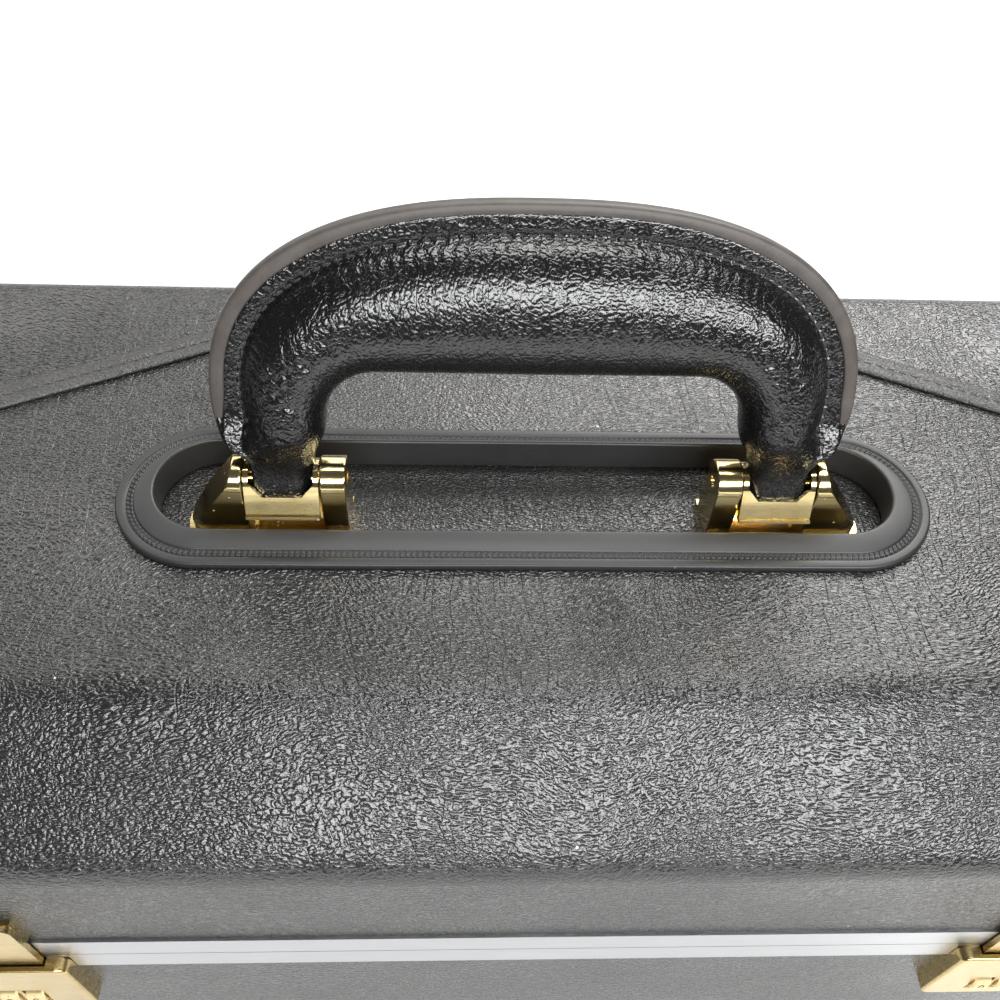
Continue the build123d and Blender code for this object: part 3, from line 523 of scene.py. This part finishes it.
nodeFinishes = (
    (caseLeather, ("body_cover", "lid_cover", "yoke_panel", "well_lining")),
    (boardBrown, ("body_board", "lid_board", "well_frame", "well_floor")),
    (liningCloth, ("body_lining", "lid_lining")),
    (aluminium, ("body_rim", "lid_rim")),
    (brass, ("bracket_left", "bracket_right", "stirrup", "pivot")),
    (lockBrass, ("feet", "hasp", "lock_case", "lock_slide", "hinge")),
    (steel, ("handle_core", "handle_backing_plate", "bracket_rivets", "dial_axle", "foot_screws")),
    (dialBrass, ("dial_left", "dial_right")),
    (blackPlastic, ("lock_back_cover",)),
    (moulding, ("bezel",)),
    (handleLeather, ("handle_grip",)),
)
for material, beginnings in nodeFinishes:    # every node whose name begins so
    for name in (n for n in nodes if n.startswith(beginnings)):
        nodes[name].data.materials.clear()
        nodes[name].data.materials.append(material)
print("CAD nodes painted")


# handle: padded cover, painted edge and stitching

handle = {
    "tilt": 20.0, "top": 69.3, "halfWidth": 76.8, "widest": 20.0, "fullness": 2.5,
    "windowTop": 29.4, "windowHalf": 50.0, "corner": 12.2, "legInner": 54.2, "legOuter": 69.2,
    "legEnd": -7.7, "thickness": 10.6, "endThickness": 3.7, "flange": 2.3, "rim": 1.2,
    "crownAt": 0.42, "crownSlope": 2.4, "crownRound": 0.8, "legFullness": 0.92,
    "stitchIn": 7.4, "stitchPitch": 3.0, "grooveWidth": 0.75, "grooveDeep": 0.55, "grooveWave": 0.28,
    "softness": 0.55, "creaseDeep": 0.08, "cornerCrease": 0.26, "tuck": 0.55,
    "bandWide": 3.6, "bandTop": 2.7, "bandEnd": 9.5, "rows": 620, "loop": 144,
}
tilt = math.radians(handle["tilt"])
handleUp = np.array([0, math.sin(tilt), math.cos(tilt)])
handleFront = np.array([0, -math.cos(tilt), math.sin(tilt)])


def handlePlace(x, s, t):
    # x along the case, s up the handle's plane from the pivot, t out of its front, in millimetres
    across = np.array([1.0, 0, 0])
    return pivot + mm * (x[..., None] * across + s[..., None] * handleUp + t[..., None] * handleFront)


def handleOutlines(count):
    # matching points on the inner and outer outlines, from the left foot to the right foot
    h = handle
    turn = np.linspace(0, math.pi / 2, 60)
    cornerX = h["windowHalf"] - h["corner"]
    cornerS = h["windowTop"] - h["corner"]
    innerLeg = np.array([[h["legInner"], h["legEnd"]], [h["legInner"], 2.0], [h["legInner"] - 1.2, 8.0],
                         [h["windowHalf"] + 0.6, 13.0], [h["windowHalf"], cornerS]])
    innerTurn = np.stack([cornerX + h["corner"] * np.cos(turn),
                          cornerS + h["corner"] * np.sin(turn)], -1)
    innerCrown = np.array([[cornerX, h["windowTop"]], [0.0, h["windowTop"] - 0.3]])
    power = 2 / h["fullness"]
    outerAll = np.stack([h["halfWidth"] * np.cos(turn)**power,
                         h["widest"] + (h["top"] - h["widest"]) * np.sin(turn)**power], -1)
    split = np.argmax(outerAll[:, 0] < 47.0)
    outerLeg = np.array([[h["legOuter"], h["legEnd"]], [h["legOuter"], 4.5], [h["legOuter"] + 1.2, 7.4],
                         [h["halfWidth"] - 2.3, 9.8], [h["halfWidth"] - 0.7, 14.0],
                         [h["halfWidth"], h["widest"]]])
    shares = (0.24, 0.34, 0.42)
    inner, outer = [], []
    for share, innerPart, outerPart in zip(
            shares, (innerLeg, innerTurn, innerCrown),
            (outerLeg, outerAll[: split + 1], outerAll[split:])):
        fractions = np.linspace(0, 1, int(count / 2 * share) + 1)[:-1]
        inner.append(alongCurve(innerPart, fractions))
        outer.append(alongCurve(outerPart, fractions))
    inner.append(innerCrown[-1:])
    outer.append(outerAll[-1:])
    halves = []
    reach = 4    # each point is averaged with this many neighbours on both sides
    kernel = np.ones(2 * reach + 1) / (2 * reach + 1)
    for parts in (inner, outer):
        half = np.concatenate(parts)
        mirrored = half[-2:-2 - reach:-1] * [-1, 1]
        padded = np.concatenate([np.repeat(half[:1], reach, 0), half, mirrored])
        half = np.stack([np.convolve(padded[:, k], kernel, "valid") for k in (0, 1)], -1)
        halves.append(np.concatenate([half[:-1] * [-1, 1], half[::-1]]))
    return halves


innerLine, outerLine = handleOutlines(handle["rows"])
stations = len(innerLine)
span = np.linalg.norm(outerLine - innerLine, axis=1)
outward = (outerLine - innerLine) / span[:, None]
runLength = np.concatenate([[0], np.cumsum(np.linalg.norm(np.diff(outerLine, axis=0), axis=1))])
legFade = smoothStep(0.5, 18, (innerLine[:, 1] + outerLine[:, 1]) / 2)    # 0 at the feet, 1 on the grip
seamIn = handle["stitchIn"] * (0.15 + 0.85 * legFade)
bandIn = handle["bandTop"] + (handle["bandWide"] - handle["bandTop"]) * smoothStep(
    25, 60, np.abs(outerLine[:, 0]))
bandIn = bandIn * (0.35 + 0.65 * smoothStep(10, 26, outerLine[:, 1]))


def coverHalfThickness(w):
    # half thickness at share w of the way from the window to the outer edge, w of shape (rows, cols):
    # a quarter round up to the crown, a long slope down to the seam, then the thin flange
    h = handle
    full = h["endThickness"] + (h["thickness"] - h["endThickness"]) * legFade[:, None]
    fade = legFade[:, None]
    seam = 1 - seamIn[:, None] / span[:, None]
    middle = h["crownAt"] * seam
    lower = np.sqrt(np.clip(1 - ((middle - w) / middle)**2, 0, 1))
    rise = np.clip((w - middle) / (seam - middle), 0, 1)
    upper = (1 - rise**h["crownSlope"])**h["crownRound"]
    edge = h["flange"] * fade + full * h["legFullness"] * (1 - fade)
    rimWidth = h["rim"] / span[:, None]
    rim = np.sqrt(np.clip(1 - np.clip((w - 1 + rimWidth) / rimWidth, 0, 1)**2, 0, 1))
    return np.where(w < middle, full * lower, edge + (full - edge) * upper) * rim


def makeHandleCover():
    # stations along the loop, each with a closed section: out over the front and back behind it
    h = handle
    half = h["loop"] // 2
    # even spacing round the loop, closer at the two ends, where the surface turns
    share = (1 - np.cos(np.linspace(0, math.pi, half + 1))) / 2
    share = 0.55 * share + 0.45 * np.linspace(0, 1, half + 1)
    w = np.broadcast_to(share, (stations, half + 1))
    thick = coverHalfThickness(w)
    x = innerLine[:, 0, None] + (outerLine - innerLine)[:, 0, None] * w
    s = innerLine[:, 1, None] + (outerLine - innerLine)[:, 1, None] * w
    surfaces = []
    for side, seed in ((1, 21), (-1, 22)):
        flat = np.stack([x, s, np.full_like(x, side * 40.0)], -1)    # its own noise for each face
        seam = 1 - seamIn[:, None] / span[:, None]
        pastSeam = (w - seam) * span[:, None]
        pitchWave = np.cos(2 * math.pi * runLength / h["stitchPitch"])[:, None]
        sink = bellCurve(pastSeam, h["grooveWidth"]) * (h["grooveDeep"] + h["grooveWave"] * pitchWave)
        pucker = bellCurve(pastSeam + 2.4, 1.9) * pitchWave * 0.10
        body = smoothStep(0.03, 0.25, w) * smoothStep(0.0, 0.16, seam - w)
        soft = waveNoise(flat, 0.11, seed, 3) * h["softness"] * body
        # creases: thin valleys where a slow wave crosses zero, strongest near the window's corners
        along = np.linspace(0, 1, stations)[:, None]
        bend = bellCurve(np.abs(along - 0.5) - 0.33, 0.10)
        ripple = np.abs(waveNoise(flat * [1.0, 0.9, 1.0], 0.62, seed + 5, 3))
        creaseDeep = h["creaseDeep"] + h["cornerCrease"] * bend
        crease = bellCurve(ripple, 0.055) * creaseDeep * body * legFade[:, None]
        # the flange is lumpy between the stitches and tucks in under the painted band
        flange = smoothStep(0, 0.06, w - seam) * 0.22 * waveNoise(flat, 1.3, seed + 9, 2)
        tuck = smoothStep(-0.2, 0.5, bandIn[:, None] - (1 - w) * span[:, None]) * h["tuck"]
        t = thick + (soft - crease - sink + pucker + flange - tuck) * (
            np.minimum(thick / 3.0, 1) * legFade[:, None])
        surfaces.append(side * t)
    front = handlePlace(x, s, surfaces[0])
    back = handlePlace(x, s, surfaces[1])
    ring = np.concatenate([front, back[:, -2:0:-1]], 1)
    piece = makePiece("handleCover", ring, tubeFaces(*ring.shape[:2]), "handle",
                      handleLeather)
    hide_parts("handle_grip")


def makeHandleEdge():
    # painted edge: a bevelled band that wraps a little way onto both faces, from foot to foot
    keep = outerLine[:, 1] > handle["bandEnd"]
    line, normal = outerLine[keep], outward[keep]
    wide = bandIn[keep][:, None]
    # front half of the section: share of the band's width inwards, and share of the half thickness
    section = np.array([(1.0, 0.0), (1.0, 0.86), (0.95, 0.98), (0.88, 1.03), (0.6, 1.02), (0.3, 0.98),
                        (0.12, 0.90), (0.03, 0.76), (-0.02, 0.55), (-0.04, 0.25)])
    section = np.concatenate([section, section[:0:-1] * [1, -1]])
    x = line[:, 0, None] - normal[:, 0, None] * wide * section[:, 0]
    s = line[:, 1, None] - normal[:, 1, None] * wide * section[:, 0]
    endTaper = 0.55 + 0.45 * smoothStep(handle["bandEnd"], 24.0, line[:, 1])
    thick = (handle["flange"] + 0.22) * endTaper[:, None]
    ring = handlePlace(x, s, thick * section[:, 1])
    makePiece("handleEdge", ring, tubeFaces(*ring.shape[:2]), "handle", edgePaint)


def stitchTemplate(rings=7, around=8):
    # a unit stitch along x from -1 to 1, unit radius, thinner at its ends
    a = np.linspace(-1, 1, rings)[:, None]
    b = np.linspace(0, 2 * math.pi, around + 1)[:-1][None, :]
    fat = np.sqrt(np.clip(1 - np.abs(a)**3, 0.03, 1))
    points = np.stack([a + 0 * b, fat * np.cos(b), fat * np.sin(b)], -1)
    return points.reshape(-1, 3), tubeFaces(rings, around)


def repeatTemplate(template, centres, alongs, sides, ups):
    # copies of a template placed in each local frame; the frames' lengths give its size
    points, faces = template
    placed = sum((points[None, :, k, None] * axis[:, None, :]
                  for k, axis in enumerate((alongs, sides, ups))), centres[:, None, :])
    shift = np.arange(len(centres)) * len(points)
    blocks = [(f[None, :, :] + shift[:, None, None]).reshape(-1, f.shape[1]) for f in faces]
    return placed.reshape(-1, 3), blocks


def unit(v):
    # vectors divided by their own lengths
    return v / np.linalg.norm(v, axis=-1, keepdims=True)


def makeHandleStitching():
    # two rows of thread, one on each face, lying in the groove
    h = handle
    places = np.arange(8.0, runLength[-1] - 8.0, h["stitchPitch"])
    seamLine = outerLine - outward * seamIn[:, None]
    x = np.interp(places, runLength, seamLine[:, 0])
    s = np.interp(places, runLength, seamLine[:, 1])
    keep = s > 14.0
    x, s, places = x[keep], s[keep], places[keep]
    ahead = unit(np.stack([np.interp(places + 0.5, runLength, seamLine[:, k])
                           - np.interp(places - 0.5, runLength, seamLine[:, k]) for k in (0, 1)], -1))
    along = ahead[:, :1] * np.array([1.0, 0, 0]) + ahead[:, 1:] * handleUp
    side = -ahead[:, 1:] * np.array([1.0, 0, 0]) + ahead[:, :1] * handleUp
    for face, name in ((1, "handleStitchesFront"), (-1, "handleStitchesBack")):
        lift = np.full_like(x, face * (h["flange"] - 0.12))
        centres = handlePlace(x, s, lift)
        skew = side * 0.12
        points, blocks = repeatTemplate(
            stitchTemplate(), centres, (along + skew) * 1.05 * mm, side * 0.36 * mm,
            np.broadcast_to(handleFront * face * 0.30 * mm, centres.shape))
        makePiece(name, points, blocks, "handle", thread, flip=face < 0)


makeHandleCover()
makeHandleEdge()
makeHandleStitching()
print("handle made")


# bezel: moulded surround with an embossed stitch row

bezel = {
    "outerHalf": (bezelHigh[0] - bezelLow[0]) / 2 / mm,
    "outerRadius": (bezelHigh[1] - bezelLow[1]) / 2 / mm,
    "openHalf": 96.0, "openRadius": 14.7, "offset": 3.0, "proud": 2.0, "depth": 9.4, "collar": 1.5,
    "edgeRound": 0.8, "rowIn": 3.6, "rowWidth": 2.0, "rowSink": 0.5, "pitch": 1.42, "cellRise": 0.46,
    "slant": 0.42, "count": 640,
}


def stadiumLine(half, radius, offset, count):
    # points round a stadium, straights and round ends each with their own share of the count
    straight = half - radius
    quarter = count // 4
    sweep = np.linspace(0, math.pi, quarter + 1)[:-1]
    run = np.linspace(-straight, straight, quarter + 1)[:-1]
    front = np.stack([run, np.full(quarter, -radius)], -1)
    right = np.stack([straight + radius * np.sin(sweep), -radius * np.cos(sweep)], -1)
    back = np.stack([-run, np.full(quarter, radius)], -1)
    left = np.stack([-straight - radius * np.sin(sweep), radius * np.cos(sweep)], -1)
    return np.concatenate([front, right, back, left]) + [0, offset]


def makeBezel():
    # one closed profile swept round: from the outer edge inwards, then from the opening outwards
    b = bezel
    count, edge, sink = b["count"], b["edgeRound"], b["rowSink"]
    outer = stadiumLine(b["outerHalf"], b["outerRadius"], 0.0, count)
    inner = stadiumLine(b["openHalf"], b["openRadius"], b["offset"], count)
    inwards = unit(inner - outer)
    reach = np.linalg.norm(inner - outer, axis=1)
    rowOut = b["rowIn"] - b["rowWidth"] / 2 - 0.25
    rowEnd = b["rowIn"] + b["rowWidth"] / 2 + 0.25
    quarter = np.linspace(0, math.pi / 2, 7)
    # profile from the outer foot over the flange: (distance in from the outer edge, height)
    profile = [(0.0, -b["proud"]), (0.0, -1.1)]
    profile += [(edge - edge * math.cos(a), -0.75 + 0.75 * math.sin(a)) for a in quarter]
    profile += [(1.6, -0.02), (rowOut - 0.15, -0.06), (rowOut, -0.10), (rowOut + 0.15, -sink),
                (rowEnd - 0.15, -sink), (rowEnd, -0.10), (rowEnd + 0.15, -0.04)]
    profile = np.array(profile)
    d = np.broadcast_to(profile[:, 0], (count, len(profile)))
    z = np.broadcast_to(profile[:, 1], d.shape)
    # the rest is measured back from the opening: flat, lip, collar wall down and its outer side
    lip = [(1.3, -0.03)] + [(edge - edge * math.sin(a), -edge + edge * math.cos(a)) for a in quarter]
    lip += [(0.0, -4.0), (0.0, -b["depth"] + 0.4), (0.12, -b["depth"] + 0.1), (0.45, -b["depth"]),
            (b["collar"], -b["depth"]), (b["collar"], -b["proud"] - 0.2), (2.4, -b["proud"])]
    lip = np.array(lip)
    dLip = reach[:, None] - lip[:, 0]
    d = np.concatenate([d, dLip], 1)
    z = np.concatenate([z, np.broadcast_to(lip[:, 1], dLip.shape)], 1)
    flat = outer[:, None, :] + inwards[:, None, :] * d[..., None]
    sway = 0.06 * np.sin(flat[..., 0] / 17.0 + 1.0) * (z > -0.5)
    points = np.concatenate([flat * mm, (bezelTop / mm + z + sway)[..., None] * mm], -1)
    piece = makePiece("bezelMoulding", points, [gridFaces(count, d.shape[1], True, True)], "lid",
                      moulding)
    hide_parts("bezel")


def makeBezelRow():
    # embossed cells round the flange: a pillow with a raised rim, slanted along the row
    b = bezel
    line = stadiumLine(b["outerHalf"] - b["rowIn"], b["outerRadius"] - b["rowIn"], 0.0, 2000)
    closed = np.concatenate([line, line[:1]])
    steps = np.linalg.norm(np.diff(closed, axis=0), axis=1)
    total = steps.sum()
    cells = int(total / b["pitch"])
    at = (np.arange(cells) + 0.5) / cells
    centre = alongCurve(closed, at)
    later, earlier = (alongCurve(closed, np.clip(at + nudge, 0, 1)) for nudge in (0.001, -0.001))
    ahead = unit(later - earlier)
    side = np.stack([-ahead[:, 1], ahead[:, 0]], -1)
    u = np.linspace(-1, 1, 7)
    gu, gv = np.meshgrid(u, u, indexing="ij")
    edge = np.maximum(np.abs(gu), np.abs(gv))
    rise = np.where(edge > 0.95, 0.0, np.where(edge > 0.6, 1.0, np.where(gv < 0.4, 0.35, 0.8)))
    template = (np.stack([gu, gv, rise], -1).reshape(-1, 3), [gridFaces(7, 7)])
    zero = np.zeros((cells, 1))
    lift = np.full((cells, 1), bezelTop / mm - b["rowSink"] - 0.02)
    centres = np.concatenate([centre, lift], 1) * mm
    alongs = np.concatenate([ahead, zero], 1) * b["pitch"] * 0.43 * mm
    sides = np.concatenate([side + ahead * b["slant"], zero], 1) * b["rowWidth"] * 0.47 * mm
    ups = np.tile([0, 0, b["cellRise"] * mm], (cells, 1))
    points, blocks = repeatTemplate(template, centres, alongs, sides, ups)
    makePiece("bezelStitchRow", points, blocks, "lid", moulding)


makeBezel()
makeBezelRow()
print("bezel made")


# yoke: turned and stitched front edge

yoke = {
    "seamX": 110.0, "seamY": 45.5, "slope": 0.455, "midHalf": 60.0, "thickness": 1.0, "endRadius": 7.0,
    "stitchIn": 3.4, "pitch": 3.1, "threadHigh": 0.16,
}
lidTop = lidHigh[2] / mm
lidEnd = lidHigh[0] / mm
yokeBottom = yokeLow[2] / mm


def yokeWrap(a):
    # a is the distance along X measured over the top, round the end and down the side
    radius = yoke["endRadius"] + yoke["thickness"]
    flat = lidEnd - yoke["endRadius"]
    turn = np.clip((np.abs(a) - flat) / radius, 0, math.pi / 2)
    down = np.maximum(np.abs(a) - flat - radius * math.pi / 2, 0)
    sign = np.sign(a)
    x = sign * (np.minimum(np.abs(a), flat) + radius * np.sin(turn))
    z = lidTop + yoke["thickness"] - radius * (1 - np.cos(turn)) - down
    normal = np.stack([sign * np.sin(turn), 0 * a, np.cos(turn)], -1)
    return x, z, normal


def yokeSeam(x):
    # the seam's Y: level in the middle, then falling away at a constant slope, with a soft corner
    past = np.abs(x) - yoke["midHalf"]
    soft = 3.0 * np.log1p(np.exp(np.clip(past / 3.0, -30, 30)))
    mid = yoke["seamY"] + yoke["slope"] * (yoke["seamX"] - yoke["midHalf"])
    slant = smoothStep(-4, 4, past) * (np.abs(x) < lidEnd - 1)
    return mid - yoke["slope"] * np.minimum(soft, lidEnd + 1 - yoke["midHalf"]), slant


def yokePoints(a, q, h):
    # q in from the edge, h above the yoke's face
    x, z, normal = yokeWrap(a)
    y, slant = yokeSeam(x)
    stretch = np.sqrt(1 + (yoke["slope"] * slant)**2)
    place = np.stack([x + 0 * q, y + q * stretch, z + 0 * q], -1)
    return (place + normal * h[..., None]) * mm


def makeYokeEdge():
    # the turned edge, swept along the seam and down both sides, with its row of stitches
    end = lidEnd - yoke["endRadius"] + (yoke["endRadius"] + yoke["thickness"]) * math.pi / 2
    end += lidTop + yoke["thickness"] - yoke["endRadius"] - yoke["thickness"] - yokeBottom
    a = np.linspace(-end, end, 900)[:, None]
    profile = np.array([(1.0, -0.98), (-0.35, -0.98), (-0.62, -0.75), (-0.75, -0.35), (-0.66, 0.05),
                        (-0.35, 0.32), (0.2, 0.45), (1.2, 0.50), (2.2, 0.46), (2.8, 0.32), (3.4, 0.10),
                        (4.0, 0.26), (4.6, 0.44), (5.3, 0.42), (6.2, 0.24), (7.2, 0.08), (8.5, -0.12),
                        (8.0, -0.6)])
    q = np.broadcast_to(profile[:, 0], (len(a), len(profile)))
    h = np.broadcast_to(profile[:, 1], q.shape)
    wave = np.cos(2 * math.pi * a / yoke["pitch"])
    pull = bellCurve(q - yoke["stitchIn"], 1.2) * wave * 0.08
    # the hidden fold beyond the stitches wanders a little along the edge
    drift = 0.22 * np.sin(a / 13.0) + 0.15 * np.sin(a / 5.3 + 2)
    ridge = bellCurve(q - 5.2, 1.2) * (0.12 * np.sin(a / 9.0) + 0.08 * np.sin(a / 3.7))
    q = q + drift * (q > yoke["stitchIn"] + 0.5)
    points = yokePoints(a, q, h + pull + ridge)
    # the paler leather here is a painted highlight along the fold
    makePiece("yokeTurnedEdge", points, tubeFaces(*points.shape[:2]), "lid",
              turnedEdgeHighlight, flip=True)
    places = np.arange(-end + 2, end - 2, yoke["pitch"])
    q0 = np.full_like(places, yoke["stitchIn"])
    h0 = np.full_like(places, yoke["threadHigh"])
    centres = yokePoints(places, q0, h0)
    ahead = unit(yokePoints(places + 0.4, q0, h0) - yokePoints(places - 0.4, q0, h0))
    up = yokeWrap(places)[2]
    side = np.cross(up, ahead)
    points, blocks = repeatTemplate(stitchTemplate(), centres, ahead * 1.15 * mm, side * 0.32 * mm,
                                    up * 0.26 * mm)
    makePiece("yokeStitches", points, blocks, "lid", thread)


makeYokeEdge()
print("yoke edge made")


# dial digits

dials = {"digits": "0123456789", "size": 2.7, "proud": 0.04, "radius": 6.0}


def digitShapes():
    # each digit as a flat mesh centred on its own middle, in millimetres
    shapes = []
    for digit in dials["digits"]:
        curve = bpy.data.curves.new("digit", "FONT")
        curve.body = digit
        curve.size = 4.0
        curve.resolution_u = 3
        holder = bpy.data.objects.new("digit", curve)
        mesh = bpy.data.meshes.new_from_object(holder)
        points = np.empty(len(mesh.vertices) * 3)
        mesh.vertices.foreach_get("co", points)
        points = points.reshape(-1, 3)
        points -= (points.max(0) + points.min(0)) / 2
        points *= dials["size"] / (points[:, 1].max() - points[:, 1].min())
        shapes.append((points, [list(p.vertices) for p in mesh.polygons]))
        bpy.data.objects.remove(holder)
        bpy.data.meshes.remove(mesh)
        bpy.data.curves.remove(curve)
    return shapes


def makeDigits():
    # ten digits round each wheel, a little proud of it, in one piece that turns with it
    shapes = digitShapes()
    for name in sorted(n for n in nodes if n.startswith(("dial_left", "dial_right"))):
        low, high = (np.array(c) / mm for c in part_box(name))
        centre = (low + high) / 2
        reach = dials["radius"] + dials["proud"]
        points, polygons = [], []
        for i, (flat, faces) in enumerate(shapes):
            # wrapped round the wheel: height on the digit becomes an angle about X
            angle = i * 2 * math.pi / len(shapes) + flat[:, 1] / dials["radius"]
            placed = np.stack([centre[0] + flat[:, 0], centre[1] - reach * np.cos(angle),
                               centre[2] + reach * np.sin(angle)], -1)
            start = sum(len(p) for p in points)
            points.append(placed)
            polygons += [[start + k for k in face] for face in faces]
        mesh = bpy.data.meshes.new("digits_" + name)
        mesh.from_pydata(np.concatenate(points) * mm, [], polygons)
        mesh.materials.append(digitPaint)
        piece = bpy.data.objects.new("digits_" + name, mesh)
        bpy.context.scene.collection.objects.link(piece)
        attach(piece, name.replace("dial", "wheel"))


makeDigits()
print("digits made")


# stage, light and camera

stage = {"half": 2.3, "floor": (0.93, 0.93, 0.92), "rough": 0.8}


def makeStage():
    # a pale floor under the feet
    half = stage["half"]
    corners = np.array([(-half, -half, 0), (half, -half, 0), (half, half, 0), (-half, half, 0)])
    mesh = bpy.data.meshes.new("floor")
    mesh.from_pydata(corners, [], [(0, 1, 2, 3)])
    paint = newMaterial("floorPaint", roughness=stage["rough"], baseColor=(*stage["floor"], 1))[0]
    mesh.materials.append(paint)
    floor = bpy.data.objects.new("floor", mesh)
    bpy.context.scene.collection.objects.link(floor)


def placeObject(name, data, right, up, back, place):
    # an object whose own X, Y and Z point right, up and back
    holder = bpy.data.objects.new(name, data)
    bpy.context.scene.collection.objects.link(holder)
    turn = np.eye(4)
    turn[:3] = np.stack([right, up, back, place], 1)
    holder.matrix_world = Matrix(turn.tolist())
    return holder


target = (0.0, 0.0, float(bezelTop))
lights = {
    "backWide": {"place": (-0.4, 2.4, 1.75), "aim": target, "size": (5.6, 2.0), "power": 72.0,
                 "colour": (1.0, 0.985, 0.95)},
    "backWindow": {"place": (1.05, 2.0, 2.1), "aim": target, "size": (1.9, 1.1), "power": 54.0,
                   "colour": (1.0, 0.99, 0.97)},
    "overheadBox": {"place": (0.25, 0.35, 2.6), "aim": (0.25, 0.3499, 0.3), "size": (1.5, 0.9),
                    "power": 38.0, "colour": (1.0, 0.995, 0.98)},
    "frontHigh": {"place": (0.6, -2.0, 1.75), "aim": target, "size": (2.8, 0.8), "power": 100.0,
                  "colour": (0.99, 0.995, 1.0)},
}


def addLight(name, settings):
    # a rectangular light that faces its aim
    light = bpy.data.lights.new(name, "AREA")
    light.shape = "RECTANGLE"
    light.size, light.size_y = settings["size"]
    light.energy = settings["power"]
    light.color = settings["colour"]
    back = unit(np.array(settings["place"]) - np.array(settings["aim"]))
    right = unit(np.cross([0, 0, 1.0], back))
    placeObject(name, light, right, np.cross(back, right), back, settings["place"])


room = {"colour": (0.96, 0.98, 1.0, 1), "fill": 0.07, "backdrop": 0.92}


def makeRoom():
    # the backdrop looks pale to the camera and gives little fill light
    world = bpy.data.worlds.new("room")
    world.use_nodes = True
    tree = world.node_tree
    backdrop = tree.nodes["Background"]
    backdrop.inputs["Color"].default_value = room["colour"]
    rays = tree.nodes.new("ShaderNodeLightPath")
    strength = tree.nodes.new("ShaderNodeMapRange")
    strength.inputs["To Min"].default_value = room["fill"]
    strength.inputs["To Max"].default_value = room["backdrop"]
    tree.links.new(rays.outputs["Is Camera Ray"], strength.inputs["Value"])
    tree.links.new(strength.outputs["Result"], backdrop.inputs["Strength"])
    bpy.context.scene.world = world


makeRoom()
makeStage()
for name, settings in lights.items():
    addLight(name, settings)
bpy.context.scene.view_settings.view_transform = "Standard"

view = {"yaw": 4.1, "pitch": 50.46, "roll": 3.64, "place": (-19.3, -165.1, 197.9), "lens": 36.0}


def makeCamera():
    # looks along yaw and pitch, then rolls about that line
    yaw, pitch, roll = (math.radians(view[k]) for k in ("yaw", "pitch", "roll"))
    ahead = np.array([math.sin(yaw) * math.cos(pitch), math.cos(yaw) * math.cos(pitch),
                      -math.sin(pitch)])
    level = np.array([math.cos(yaw), -math.sin(yaw), 0.0])
    upright = np.cross(level, ahead)
    right = math.cos(roll) * level + math.sin(roll) * upright
    up = -math.sin(roll) * level + math.cos(roll) * upright
    place = np.array(view["place"]) * mm + [0, 0, bezelTop]    # measured from the bezel's top
    lens = bpy.data.cameras.new("camera")
    lens.lens = view["lens"]
    lens.clip_start = 0.01
    bpy.context.scene.camera = placeObject("camera", lens, right, up, -ahead, place)


makeCamera()
print("stage, lights and camera set")
